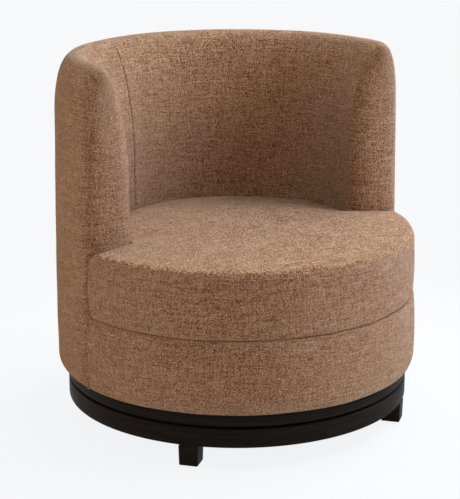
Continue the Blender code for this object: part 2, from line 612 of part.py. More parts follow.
def make_barrel(cloth, foam):
    """The cover round the barrel, and the foam and wadding between it and the frame."""
    barrel = make_object("barrel_cover", *wall_data(0, BARREL_BOTTOM), cloth, 60)
    boolean(barrel, wall_data(COVER, BARREL_BOTTOM - PLY), "DIFFERENCE")
    below_seat = LINED_RADIUS / cos(pi / RING_STEPS)
    band_space = [(below_seat, SEAM_HEIGHT), (below_seat, BARREL_BOTTOM - PLY)]
    boolean(barrel, solid_turned_data(band_space, RING_STEPS), "DIFFERENCE")
    inside = make_object("inside_foam", *wall_data(COVER + FOAM_EASE, SEAT_BOTTOM), foam, 60)
    frame_space = rectangle(UPRIGHT_INNER - 2 * GAP - BOARD, BARREL_RADIUS, BARREL_BOTTOM, RAIL_TOP + GAP)
    reach = HALF_RAIL + degrees(GAP / FRAME_RADIUS)
    boolean(inside, arc_data(frame_space, -reach, reach, BACK_ARC_STEPS), "DIFFERENCE")
    inner = LINED_RADIUS / RAIL_FACET
    line = BARREL_RADIUS * WALL_FACET - COVER - GAP
    shoulder = BARREL_SHOULDER_RADIUS * WALL_FACET - COVER - GAP
    wadding = [(inner, BARREL_BOTTOM), (line - HEM_DEPTH, BARREL_BOTTOM), (line, BARREL_BOTTOM + HEM_HEIGHT)]
    wadding += [(line, SEAM_HEIGHT), (shoulder, BARREL_TOP - SHOULDER_DROP)]
    wadding += [(inner + BOARD, RAIL_BOTTOM), (inner, RAIL_BOTTOM)]
    make_object("outside_wadding", *arc_data(wadding, -HALF_RAIL, HALF_RAIL, BACK_ARC_STEPS), foam)


def mitres(points):
    """For each point of a line, the shift to its left that moves both edges there by one unit."""
    shifts = []
    for i, point in enumerate(points):
        runs = []
        if i > 0:
            runs.append((point - points[i - 1]).normalized())
        if i < len(points) - 1:
            runs.append((points[i + 1] - point).normalized())
        sides = [Vector((-run.y, run.x, 0)) for run in runs]
        side = sum(sides, Vector()).normalized()
        shifts.append(side / side.dot(sides[0]))
    return shifts


def arm_plan(clearance):
    """The +X arm's plan, moved off by a clearance, from its outer side round its front to its inner side."""
    start, arm = arm_columns(0)
    columns = [(start, 1.0)] + arm[::-1]
    outward = BARREL_RADIUS - MIDDLE_RADIUS
    inward = MIDDLE_RADIUS - BARREL_INNER_RADIUS
    outer = [around(MIDDLE_RADIUS + outward * scale, angle) for angle, scale in columns]
    inner = [around(MIDDLE_RADIUS - inward * scale, angle) for angle, scale in reversed(columns)]
    points = outer + inner
    return [point + shift * clearance for point, shift in zip(points, mitres(points))]


def trimmed(points, inner, outer):
    """The stretch of a line running inwards that lies between two distances from the axis."""
    line = []
    for before, after in zip(points, points[1:]):
        for limit in (outer, inner):
            if before.length > limit > after.length:
                line.append(before.lerp(after, (before.length - limit) / (before.length - after.length)))
        if inner < after.length < outer:
            line.append(after)
    return line


def bearing(point):
    """A point's angle in degrees from the middle of the back."""
    return degrees(atan2(point.x, point.y))


def seat_outline(inset):
    """The seat's plan: a disc that fits inside the barrel behind the arms and reaches past them in front."""
    depth = max(inset, 0.0)
    radius = SEAT_RADIUS - depth
    side = trimmed(arm_plan(GAP + depth), 0, radius)
    missing = SIDE_POINTS - len(side)
    side[1:1] = [side[0].lerp(side[1], (i + 1) / (missing + 1)) for i in range(missing)]
    front = [around(radius, 180 + (bearing(side[0]) - 180) * i / FRONT_STEPS) for i in range(FRONT_STEPS)]
    back_radius = BARREL_INNER_RADIUS * WALL_FACET - GAP - depth
    back = [around(back_radius, bearing(side[-1]) * (1 - i / BACK_STEPS)) for i in range(1, BACK_STEPS + 1)]
    half = front + side + back
    outline = half + [Vector((-point.x, point.y, 0)) for point in half[-2:0:-1]]
    swell = 1 - min(inset, 0.0) / SEAT_RADIUS
    return [point * (swell if point.length > radius - GAP else 1.0) for point in outline]


def foam_outline(inset):
    """A plainer plan inside the seat's: a wide round front, and a smaller round back between the arms."""
    side = ARM_ANGLE + degrees(inset / BARREL_INNER_RADIUS)
    radius = SEAT_RADIUS - inset
    front = [around(radius, 180 + (side - 180) * i / FRONT_STEPS) for i in range(FRONT_STEPS + 1)]
    back_radius = BARREL_INNER_RADIUS * WALL_FACET - GAP - inset
    back = [around(back_radius, side * (1 - i / BACK_STEPS)) for i in range(BACK_STEPS + 1)]
    half = front + back
    return half + [Vector((-point.x, point.y, 0)) for point in half[-2:0:-1]]


def seat_data(outline, skin, sides, rounding_steps, crown_steps):
    """A crowned form, inside the seat by a skin, over side loops of (inset, height) from the bottom up."""
    edge = SEAT_EDGE_HEIGHT - skin
    levels = [(skin + inset, height) for inset, height in sides]
    for step in range(rounding_steps + 1):
        turn = pi / 2 * step / rounding_steps
        levels.append((skin + SEAT_ROUNDING * (1 - cos(turn)), edge - SEAT_ROUNDING * (1 - sin(turn))))
    loops = [[Vector((p.x, p.y, height)) for p in outline(inset)] for inset, height in levels]
    rim = loops[-1]
    for step in range(1, crown_steps + 1):
        share = step / (crown_steps + 1)
        height = edge + SEAT_CROWN * (1 - (1 - share) ** 2)
        loops.append([Vector((p.x * (1 - share), p.y * (1 - share), height)) for p in rim])
    points = [point for loop in loops for point in loop]
    points.append(Vector((0, 0, edge + SEAT_CROWN)))
    count = len(rim)
    faces = []
    for level in range(len(loops) - 1):
        a = level * count
        for i in range(count):
            j = (i + 1) % count
            faces.append((a + i, a + j, a + count + j, a + count + i))
    faces.append(list(range(count)))
    top = (len(loops) - 1) * count
    faces += [(top + i, top + (i + 1) % count, len(points) - 1) for i in range(count)]
    return points, faces


def make_seat(cloth, foam):
    """The crowned seat cushion drawn in at its seam, over its foam, and the upholstered band below it."""
    middle = (SEAT_BOTTOM + SEAT_EDGE_HEIGHT - SEAT_ROUNDING) / 2
    sides = [(SEAM_PINCH, SEAT_BOTTOM), (0.0, SEAT_BOTTOM + SEAM_ROUNDING), (-SEAT_SWELL, middle)]
    form = seat_data(seat_outline, 0.0, sides, ROUNDING_STEPS, CROWN_STEPS)
    cushion = make_object("seat_cushion", *form, cloth, 60)
    space = seat_data(foam_outline, FOAM_SKIN, [(0.0, SEAT_BOTTOM - PLY)], 1, 2)
    boolean(cushion, space, "DIFFERENCE")
    core = seat_data(foam_outline, FOAM_SKIN + FOAM_EASE, [(0.0, SEAT_BOTTOM)], 1, 2)
    make_object("seat_foam", *core, foam, 60)
    half_step = radians((180 - ARM_ANGLE) / BAND_STEPS)
    inner = LINED_RADIUS / cos(half_step)
    outline = [(BAND_RADIUS - HEM_DEPTH, BARREL_BOTTOM), (BAND_RADIUS, BARREL_BOTTOM + HEM_HEIGHT)]
    outline += [(BAND_RADIUS + BAND_SWELL, (BARREL_BOTTOM + SEAM_HEIGHT) / 2)]
    outline += [(BAND_RADIUS, SEAM_HEIGHT - SEAM_ROUNDING), (SEAT_RADIUS - SEAM_PINCH, SEAM_HEIGHT)]
    ends = [(bearing(p), p.length) for p in trimmed(arm_plan(GAP), inner, BAND_RADIUS - GAP)]
    start = ends[-1][0]
    front = [(start + (360 - 2 * start) * i / BAND_STEPS, inner) for i in range(1, BAND_STEPS)]
    columns = ends + front + [(360 - angle, radius) for angle, radius in reversed(ends)]
    points, faces = [], []
    for angle, wall in columns:
        points.append(around(wall, angle, BARREL_BOTTOM))
        points += [around(max(radius, wall + GAP), angle, height) for radius, height in outline]
        points.append(around(wall, angle, SEAM_HEIGHT))
    count = len(outline) + 2
    for column in range(len(columns) - 1):
        a = column * count
        for i in range(count):
            j = (i + 1) % count
            faces.append((a + i, a + j, a + count + j, a + count + i))
    faces.append(list(range(count)))
    faces.append(list(range(len(points) - count, len(points))))
    make_object("front_band", points, faces, cloth, 60)


def pivot(name, height, pieces):
    """An empty on the swivel's axis that carries the pieces that turn with it."""
    empty = bpy.data.objects.new(name, None)
    empty.location = (0, 0, height)
    bpy.context.collection.objects.link(empty)
    bpy.context.view_layer.update()
    for piece in pieces:
        piece.parent = empty
        piece.matrix_parent_inverse = empty.matrix_world.inverted()


def main():
    for old in list(bpy.data.objects):
        bpy.data.objects.remove(old)
    black_wood = make_material("black_wood", (0.012, 0.012, 0.013), 0.35)
    steel = make_material("zinc_steel", (0.55, 0.56, 0.58), 0.4, 1.0)
    bright_steel = make_material("bright_steel", (0.75, 0.75, 0.77), 0.25, 1.0)
    nylon = make_material("nylon", (0.05, 0.05, 0.05), 0.5)
    ply = make_material("plywood", (0.55, 0.40, 0.24), 0.7)
    board = make_material("hardboard", (0.30, 0.20, 0.12), 0.8)
    webbing = make_material("webbing", (0.08, 0.08, 0.09), 0.9)
    dust_cloth = make_material("dust_cloth", (0.02, 0.02, 0.02), 0.95)
    foam = make_material("foam", (0.75, 0.70, 0.50), 0.95)
    fabric = make_material("fabric", (0.26, 0.135, 0.08), 0.9)
    foot_places, foot_head_z = make_feet(black_wood, steel, nylon)
    make_base(black_wood, foot_places, foot_head_z)
    screw_places, screw_tip = make_plinth(black_wood, steel, dust_cloth)
    make_swivel(steel, bright_steel)
    make_frame(ply, board, screw_places, screw_tip)
    make_webbing(webbing)
    make_barrel(fabric, foam)
    make_seat(fabric, foam)
    standing = ("foot", "glide", "base", "lower", "centre", "ball")
    solids = [piece for piece in bpy.data.objects if not piece.hide_render]
    pivot("seat_pivot", SWIVEL_HEIGHT, [piece for piece in solids if not piece.name.startswith(standing)])
    pivot("cage_pivot", SWIVEL_HEIGHT, [bpy.data.objects["ball_cage"]])


main()
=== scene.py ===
"""Looks of the swivel tub chair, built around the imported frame.

Metres, +Z up, floor at z = 0. The chair faces -Y, and the swivel's axis is the Z axis.
Angles round the chair are counted in degrees from the middle of the back (+Y), and grow towards +X.
"""

import json
from math import cos, pi, radians, sin

import bmesh
import bpy
import numpy as np
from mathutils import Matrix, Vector, noise


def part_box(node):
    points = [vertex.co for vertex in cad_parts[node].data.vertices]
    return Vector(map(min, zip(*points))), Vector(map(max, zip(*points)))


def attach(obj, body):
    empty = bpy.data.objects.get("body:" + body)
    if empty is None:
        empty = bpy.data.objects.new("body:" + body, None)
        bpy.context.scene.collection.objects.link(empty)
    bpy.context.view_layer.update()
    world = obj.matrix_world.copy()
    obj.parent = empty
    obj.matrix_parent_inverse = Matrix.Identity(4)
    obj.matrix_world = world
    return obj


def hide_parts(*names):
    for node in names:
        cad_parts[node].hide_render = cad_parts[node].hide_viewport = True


GAP = 0.0003  # clearance between pieces that touch
SOFT_EDGE = 70  # degrees: edges of soft pieces are shaded smooth up to this angle
HARD_EDGE = 35  # the same for the turned rings

# Camera of the photograph
CAMERA_DISTANCE = 3.345
CAMERA_ELEVATION = 0.2708  # radians
CAMERA_AZIMUTH = radians(-29.5)
CAMERA_AIM = 0.3397  # height that it looks at
CAMERA_LENS = 116.9
CAMERA_SHIFT = -0.01403

# Barrel
BARREL_RADIUS = 0.3715
BARREL_LEAN = 0.006  # how far the outside leans in from its foot up to its shoulder
BARREL_INNER_RADIUS = 0.2547
BARREL_BOTTOM = 0.115
BARREL_TOP = 0.7506
CREST_RADIUS = 0.322  # where the rounded top is highest
MIDDLE_RADIUS = (BARREL_RADIUS - BARREL_LEAN + BARREL_INNER_RADIUS) / 2
SHOULDER_DROP = 0.121  # the outer rounding starts this far below the top
LINING_DROP = 0.250  # the inner rounding starts this far below the top
SHOULDER_POWER = 2.4
LEAN_START = 0.281  # height from which it leans
LEAN_POWER = 1.37
LEAN_FADE = 0.08  # the lean eases off over this share of its height past the shoulder
HEM_HEIGHT = 0.020
HEM_DEPTH = 0.009
HEM_SHARES = np.array([0, 0.12, 0.27, 0.45, 0.65, 0.85, 1.1])  # rows over the hem, in shares of its height
ARM_ANGLE = 99.8
ARM_ROUNDING = 0.038
ARM_OUTER_POWER = 2.8  # how square the arms' fronts are on their outer sides
ARM_INNER_POWER = 2.3
ARM_TOP_DROP = 0.038  # how far the top comes down in the arm's front rounding
SHELL_RADIUS = 0.3535  # inside of the cover below the seat
SHELL_TOP = 0.2487
ROW_PITCH = 0.0085
TOP_ROWS = 50
BACK_COLUMNS = 163
TIP_COLUMNS = 19
INNER_SEAM_ANGLE = -29.0
INNER_SEAM_END = (0.735, 0.7495)  # heights between which the seam fades out
BACK_SEAM_ANGLE = 0.0
BACK_SEAM_END = (0.70, 0.745)
SEAM_COLUMNS = np.array([0, 0.8, 1.6, 2.6, 4, 6, 9, 13]) * 0.001  # distances from a seam's middle
SEAM_DEPTH = 0.0021
SEAM_WIDTH = 0.0019
SEAM_LIP = 0.0008  # the cloth stands proud beside a seam
SEAM_LIP_AT = 0.0075
SEAM_LIP_WIDTH = 0.0055
SEAM_MARGIN = 0.3  # degrees that the even columns keep off a seam's own
CLOTH_LEVEL = 0.40  # height at which the cloth is measured round the barrel

# Seat and band
SEAT_RADIUS = 0.3630
SEAM_HEIGHT = 0.2610
SEAT_TOP = 0.411
SEAT_EDGE_HEIGHT = 0.3945
SEAT_ROUNDING = (0.016, 0.022)  # inwards and downwards, along the front
SEAT_SIDE_ROUNDING = (0.010, 0.013)  # along the arms and the back
SEAT_SWELL = 0.0016
SEAT_SWELL_POWER = 1.2
SEAT_CLEARANCE = 0.0006
# (drawn in by, height over the seam) at the foot of the seat's side
SEAT_PINCH = [
    (0.0052, 0.0),
    (0.0035, 0.0008),
    (0.0022, 0.0021),
    (0.0012, 0.0038),
    (0.0005, 0.0060),
    (0.0, 0.0090),
]
TOP_STRETCH = 0.55  # the seat's top is pulled tight from front to back, so its weave opens that way
SEAT_FRONT_COUNT = 165
SEAT_CORNER_COUNT = 10
SEAT_SIDE_COUNT = 42
SEAT_BACK_COUNT = 60
SEAT_SIDE_ROWS = 19
SEAT_EDGE_ROWS = 15
SEAT_EDGE_TURN = pi / 2 - 0.085  # the edge's rounding ends just short of level, where the crown begins
SEAT_TOP_ROWS = 36
SEAT_FOLD_ROWS = 7  # rows of the edge that are part of the top's cloth
CORNER_FRONT = 0.008  # how far the corner at an arm is rounded back, along the front
CORNER_SIDE = 0.018  # and along the arm
FRONT_FADE = 0.020  # length over which the front's rounding turns into the sides'
PUCKER = 0.0007  # how far stitches move the cloth in or out
PUCKER_FALL = 0.008  # and how far from the seam they still do
BAND_RADIUS = 0.3670
BAND_SWELL = 0.0022
BAND_FLARE = 0.0010  # wider by this at its hem and narrower at its seam
BAND_HEM_DEPTH = 0.0060
BAND_CORNER = 0.010  # length and depth of the rounding at each arm
BAND_CORNER_DEPTH = 0.022
BAND_COUNT = 170
BAND_SPREAD = 1.15  # its columns lie closer towards the arms
BAND_ROWS = 20
BAND_SIDE_TOP = 0.009  # its even rows end this far under the seam
BAND_INNER = 0.3495
# (drawn in by, depth under the seam) at the band's top
BAND_PINCH = [(0.0010, 0.0060), (0.0019, 0.0040), (0.0029, 0.0024), (0.0039, 0.0011), (0.0050, 0.0)]

# Rings, dust cloth and webbing
RING_RADIUS = 0.352
RING_INNER = 0.290
RING_EDGE = 0.0032
RING_INNER_EDGE = 0.0012
RING_STEPS = 240
BAR_WIDTH = 0.045
BAR_HOUSING = 0.012  # how far the bars reach into their ring
POCKET_LENGTH = 0.030
POCKET_OVERSHOOT = 0.02  # a pocket's tool stands this far out of the ring's open side
DUST_RADIUS = 0.300
DUST_COLUMNS = 160
DUST_FREE_FROM = 0.026  # the cloth hangs free from this far beside the bars' middle
DUST_FREE_FADE = 0.08
DUST_HELD_AT = 0.284  # its staples hold it flat from here out
DUST_HELD_FADE = 0.09
DUST_SAG = 0.0032
DUST_RIPPLE = 0.0012
DUST_RIPPLE_SCALE = 28
STRAP_COUNT = 4
STRAP_PITCH = 0.112
STRAP_WIDTH = 0.060
STRAP_THICKNESS = 0.0011
STRAP_LEVEL = 0.00125  # height of the weave's middle over its underside
STRAP_LIFT = 0.0006
STRAP_BEND = 0.024  # beside a crossing a strap comes back to the middle over this length
STRAP_REACH = 0.300
STRAP_STOPS = 91


def around(radius, angle, height):
    """Points at angles in degrees from the middle of the back."""
    turn = np.radians(angle)
    return np.stack(np.broadcast_arrays(radius * np.sin(turn), radius * np.cos(turn), height), -1)


def new_object(name, mesh, material, body):
    mesh.materials.append(material)
    mesh.shade_smooth()
    piece = bpy.data.objects.new(name, mesh)
    bpy.context.collection.objects.link(piece)
    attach(piece, body)
    return piece


def build_mesh(name, points, faces, uvs=None, sharp=60):
    """A mesh from points and faces, welded where points meet, with cloth coordinates in metres."""
    mesh = bpy.data.meshes.new(name)
    mesh.from_pydata([tuple(p) for p in points], [], faces)
    if uvs is not None:
        layer = mesh.uv_layers.new(name="cloth")
        layer.uv.foreach_set("vector", np.asarray(uvs, np.float32).ravel())
    shape = bmesh.new()
    shape.from_mesh(mesh)
    bmesh.ops.remove_doubles(shape, verts=shape.verts, dist=2e-6)
    bmesh.ops.recalc_face_normals(shape, faces=shape.faces)
    shape.to_mesh(mesh)
    shape.free()
    mesh.set_sharp_from_angle(angle=radians(sharp))
    return mesh


def patch(columns, low, high, left, right):
    """The four corners of the patch between two rows and two columns of a grid."""
    return (low * columns + left, low * columns + right, high * columns + right, high * columns + left)


def square(left, right, low, high):
    """Cloth coordinates of a patch's four corners."""
    return [(left, low), (right, low), (right, high), (left, high)]


def arc_lengths(line):
    steps = np.linalg.norm(np.diff(line, axis=0), axis=1)
    return np.concatenate([[0.0], np.cumsum(steps)])


def near(distance, width):
    return np.exp(-((distance / width) ** 2))


def soften(mesh, amount, size, seed):
    """Moves points along their normals by smooth noise, as stuffing under cloth is never quite even."""
    normals = [Vector(v.normal) for v in mesh.vertices]
    for vertex, normal in zip(mesh.vertices, normals):
        place = vertex.co / size + Vector((seed, seed * 1.7, seed * 0.3))
        vertex.co += normal * amount * noise.noise(place)


# The barrel


def outer_radius(z):
    """The barrel's outer side at a height."""
    z = np.asarray(z, float)
    shoulder = BARREL_TOP - SHOULDER_DROP
    t = np.clip((z - LEAN_START) / (shoulder - LEAN_START), 0, None)
    t = np.where(t > 1, 1 + LEAN_FADE * (1 - np.exp(-(t - 1) / LEAN_FADE)), t)
    line = BARREL_RADIUS - BARREL_LEAN * t**LEAN_POWER
    w = np.clip((z - shoulder) / SHOULDER_DROP, 0, 1)
    dome = CREST_RADIUS + (line - CREST_RADIUS) * (1 - w**SHOULDER_POWER) ** (1 / SHOULDER_POWER)
    hem = np.clip(1 - (z - BARREL_BOTTOM) / HEM_HEIGHT, 0, 1)
    return dome - HEM_DEPTH * hem**2


def inner_radius(z):
    """The barrel's inner side at a height, and the inside of its cover below the seat."""
    z = np.asarray(z, float)
    w = np.clip((z - BARREL_TOP + LINING_DROP) / LINING_DROP, 0, 1)
    radius = CREST_RADIUS - (CREST_RADIUS - BARREL_INNER_RADIUS) * np.sqrt(1 - w**2)
    return np.where(z < SHELL_TOP, SHELL_RADIUS, radius)


def barrel_heights():
    """Heights of the barrel's rows, closer at its hem, at the seat's shell and over its top."""
    lining = BARREL_TOP - LINING_DROP
    hem = BARREL_BOTTOM + HEM_HEIGHT * HEM_SHARES
    # even rows keep a few millimetres off the hem, the step at the shell's top and the rounding
    low = np.arange(hem[-1] + 0.008, SHELL_TOP - 0.004, ROW_PITCH)
    step = [SHELL_TOP - 0.0002, SHELL_TOP]
    middle = np.arange(SHELL_TOP + 0.007, lining - 0.003, ROW_PITCH)
    turn = np.linspace(0, pi / 2, TOP_ROWS)
    return np.concatenate([hem, low, step, middle, lining + LINING_DROP * np.sin(turn)])


def barrel_chain():
    """Angles of the barrel's sections, and how far each lies towards an arm's tip, from 0 to 1."""
    start = ARM_ANGLE - np.degrees(ARM_ROUNDING / MIDDLE_RADIUS)
    even = np.linspace(-start, start, BACK_COLUMNS)
    fine = np.concatenate([-SEAM_COLUMNS[:0:-1], SEAM_COLUMNS])
    seams = [
        INNER_SEAM_ANGLE + np.degrees(fine / BARREL_INNER_RADIUS),
        BACK_SEAM_ANGLE + np.degrees(fine / BARREL_RADIUS),
    ]
    for seam in seams:
        even = even[(even < seam[0] - SEAM_MARGIN) | (even > seam[-1] + SEAM_MARGIN)]
    angles = np.sort(np.concatenate([even, *seams]))
    reach = np.sin(np.linspace(0, pi / 2, TIP_COLUMNS)[1:]) ** (2 / ARM_OUTER_POWER)
    tip = start + (ARM_ANGLE - start) * reach
    angle = np.concatenate([-tip[::-1], angles, tip])
    reach = np.concatenate([reach[::-1], np.zeros(len(angles)), reach])
    return angle, reach


def rounded_off(reach, power):
    """How full an arm is at a share of the way to its tip."""
    return np.clip(1 - reach**power, 0, 1) ** (1 / power)


def barrel_side(angle, reach, heights, radius, groove_at, strength):
    """Points of one side of the barrel, rows up and columns round, with a seam drawn in at one angle."""
    share = np.clip((heights - BARREL_TOP + LINING_DROP) / LINING_DROP, 0, 1)[:, None]
    centre = MIDDLE_RADIUS + (CREST_RADIUS - MIDDLE_RADIUS) * share
    side = 1 if radius is outer_radius else -1
    fullness = rounded_off(reach, ARM_OUTER_POWER if side > 0 else ARM_INNER_POWER)
    drop = (1 - rounded_off(reach, ARM_OUTER_POWER)) * ARM_TOP_DROP
    base = radius(heights)[:, None]
    away = np.radians(angle - groove_at) * (BARREL_RADIUS if side > 0 else BARREL_INNER_RADIUS)
    lip = SEAM_LIP * near(np.abs(away) - SEAM_LIP_AT, SEAM_LIP_WIDTH)
    groove = lip - SEAM_DEPTH * near(away, SEAM_WIDTH)
    groove = groove[None, :] * strength(heights)[:, None]
    # the way out of the stuffing turns from level to up over the rounded top
    slope = np.gradient(radius(heights), heights)
    slope = np.where(heights < SHELL_TOP + 0.002, 0, slope)[:, None] * side
    norm = np.sqrt(1 + slope**2)
    r = centre + (base - centre) * fullness[None, :] + side * groove / norm
    z = heights[:, None] - drop[None, :] * share**2 - groove * slope / norm
    return around(r, angle[None, :], z)


def fade(low, high):
    """1 below a height, 0 above another."""
    return lambda z: 1 - np.clip((z - low) / (high - low), 0, 1) ** 2


def make_barrel(material):
    """The barrel's cover with its stuffing, one closed form, with a seam inside and one behind."""
    heights = barrel_heights()
    angle, reach = barrel_chain()
    count = len(angle)
    outer = barrel_side(angle, reach, heights, outer_radius, BACK_SEAM_ANGLE, fade(*BACK_SEAM_END))
    inner = barrel_side(angle, reach, heights, inner_radius, INNER_SEAM_ANGLE, fade(*INNER_SEAM_END))
    loop = np.concatenate([outer, inner[:, -2:0:-1]], axis=1)
    rows, columns = loop.shape[:2]
    # cloth coordinates: round the chair as on the ground plan, and up along the section
    level = np.argmin(np.abs(heights - CLOTH_LEVEL))
    outer_run = arc_lengths(outer[level])
    outer_run -= np.interp(0.0, angle, outer_run)
    inner_run = arc_lengths(inner[level][::-1])
    whole = outer_run[-1] - outer_run[0] + inner_run[-1]
    inner_run = outer_run[-1] + inner_run
    inner_angles = angle[::-1]
    up = arc_lengths(np.stack([outer_radius(heights), heights], -1))
    points = loop.reshape(-1, 3)
    faces, uvs = [], []
    for c in range(columns):
        following = (c + 1) % columns
        if c < count - 1:
            u0, u1 = outer_run[c], outer_run[c + 1]
        else:
            i = c - (count - 1)
            u0, u1 = inner_run[i], inner_run[i + 1]
            if (inner_angles[i] + inner_angles[i + 1]) / 2 < INNER_SEAM_ANGLE:
                u0, u1 = u0 - whole, u1 - whole
        for r in range(rows - 1):
            faces.append(patch(columns, r, r + 1, c, following))
            uvs += square(u0, u1, up[r], up[r + 1])
    # the underside joins each column outside to the one inside it, with a centimetre of cloth between
    twins = [k if k in (0, count - 1) else columns - k for k in range(count)]
    for k in range(count - 1):
        face = [k, k + 1, twins[k + 1], twins[k]]
        run = [outer_run[k], outer_run[k + 1], outer_run[k + 1], outer_run[k]]
        drop = [0, 0, -0.01, -0.01]
        kept = [i for i in range(4) if face[i] not in face[:i]]
        faces.append([face[i] for i in kept])
        uvs += [(run[i], drop[i]) for i in kept]
    mesh = build_mesh("barrel_upholstery", points, faces, uvs, SOFT_EDGE)
    soften(mesh, amount=0.0009, size=0.085, seed=3.1)
    piece = new_object("barrel_upholstery", mesh, material, "seat")
    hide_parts("barrel_cover", "inside_foam", "outside_wadding")


# The seat and the band under it


def arm_plan(clearance):
    """The +X arm's plan, larger by a clearance, from its outer side round its front to its inner side."""
    start = ARM_ANGLE - np.degrees(ARM_ROUNDING / MIDDLE_RADIUS)
    reach = np.sin(np.linspace(0, pi / 2, 160)) ** (2 / ARM_OUTER_POWER)
    angle = start + (ARM_ANGLE - start) * reach
    outer_full = rounded_off(reach, ARM_OUTER_POWER)
    inner_full = rounded_off(reach, ARM_INNER_POWER)
    outer = around(MIDDLE_RADIUS + (BARREL_RADIUS - MIDDLE_RADIUS) * outer_full, angle, 0.0)[:, :2]
    inner = around(MIDDLE_RADIUS - (MIDDLE_RADIUS - BARREL_INNER_RADIUS) * inner_full, angle, 0.0)[:, :2]
    line = np.concatenate([outer, inner[-2::-1]])
    along = np.gradient(line, axis=0)
    along /= np.linalg.norm(along, axis=1)[:, None]
    off = np.stack([-along[:, 1], along[:, 0]], -1)
    if np.dot(off[160], (0, -1)) < 0:
        off = -off
    return line + off * clearance


def resampled(line, count):
    run = arc_lengths(line)
    at = np.linspace(0, run[-1], count)
    return np.stack([np.interp(at, run, line[:, i]) for i in (0, 1)], -1)


def seat_loop(inset):
    """The seat's plan drawn in by an inset: a wide round front, the arms' fronts, and the round back."""
    radius = SEAT_RADIUS - inset
    line = arm_plan(SEAT_CLEARANCE + max(inset, 0.0))
    distance = np.linalg.norm(line, axis=1)
    cross = np.argmax(distance < radius)
    a, b = distance[cross - 1], distance[cross]
    corner = line[cross - 1] + (line[cross] - line[cross - 1]) * (a - radius) / (a - b)
    path = np.concatenate([[corner], line[cross:]])
    run = arc_lengths(path)
    start = np.array([np.interp(CORNER_SIDE, run, path[:, i]) for i in (0, 1)])
    side = resampled(np.concatenate([[start], path[run > CORNER_SIDE]]), SEAT_SIDE_COUNT)
    bearing = np.degrees(np.arctan2(corner[0], corner[1]) + CORNER_FRONT / radius)
    front = around(radius, np.linspace(180, bearing, SEAT_FRONT_COUNT), 0.0)[:, :2]
    t = np.linspace(0, 1, SEAT_CORNER_COUNT + 2)[1:-1, None]
    bend = (1 - t) ** 2 * front[-1] + 2 * t * (1 - t) * corner + t**2 * start
    end = np.degrees(np.arctan2(side[-1, 0], side[-1, 1]))
    back = around(np.linalg.norm(side[-1]), np.linspace(end, 0, SEAT_BACK_COUNT), 0.0)[1:, :2]
    half = np.concatenate([front, bend, side, back])
    mirrored = half[-2:0:-1] * np.array([-1, 1])
    return np.concatenate([half, mirrored])


def pucker(run, seed):
    """How far stitches move the cloth in or out along a seam, about from -1 to 1."""
    small = [noise.noise(Vector((x / 0.0105, seed, 0))) for x in run]
    large = [noise.noise(Vector((x / 0.026, seed + 9, 0))) for x in run]
    return np.array([a + 0.6 * b for a, b in zip(small, large)])


def seat_levels(rounding, rounding_height):
    """(inset, height) up the seat's side: drawn in at the seam, swelling, and rounded over its edge."""
    bottom = SEAM_HEIGHT + GAP
    levels = [(inset, bottom + rise) for inset, rise in SEAT_PINCH]
    foot = levels[-1][1]
    swell_top = SEAT_EDGE_HEIGHT - rounding_height
    for z in np.linspace(foot, swell_top, SEAT_SIDE_ROWS)[1:]:
        swell = max(0.0, sin(pi * (z - foot) / (swell_top - foot)))
        levels.append((-SEAT_SWELL * swell**SEAT_SWELL_POWER, z))
    for turn in np.linspace(0, SEAT_EDGE_TURN, SEAT_EDGE_ROWS)[1:]:
        levels.append((rounding * (1 - cos(turn)), SEAT_EDGE_HEIGHT - rounding_height * (1 - sin(turn))))
    return levels


def front_share(run, whole):
    """1 along the seat's round front, fading to 0 where it turns in along the arms."""
    corner = run[SEAT_FRONT_COUNT + SEAT_CORNER_COUNT // 2]
    share = np.clip(0.5 + (corner - np.minimum(run, whole - run)) / FRONT_FADE, 0, 1)
    return share * share * (3 - 2 * share)


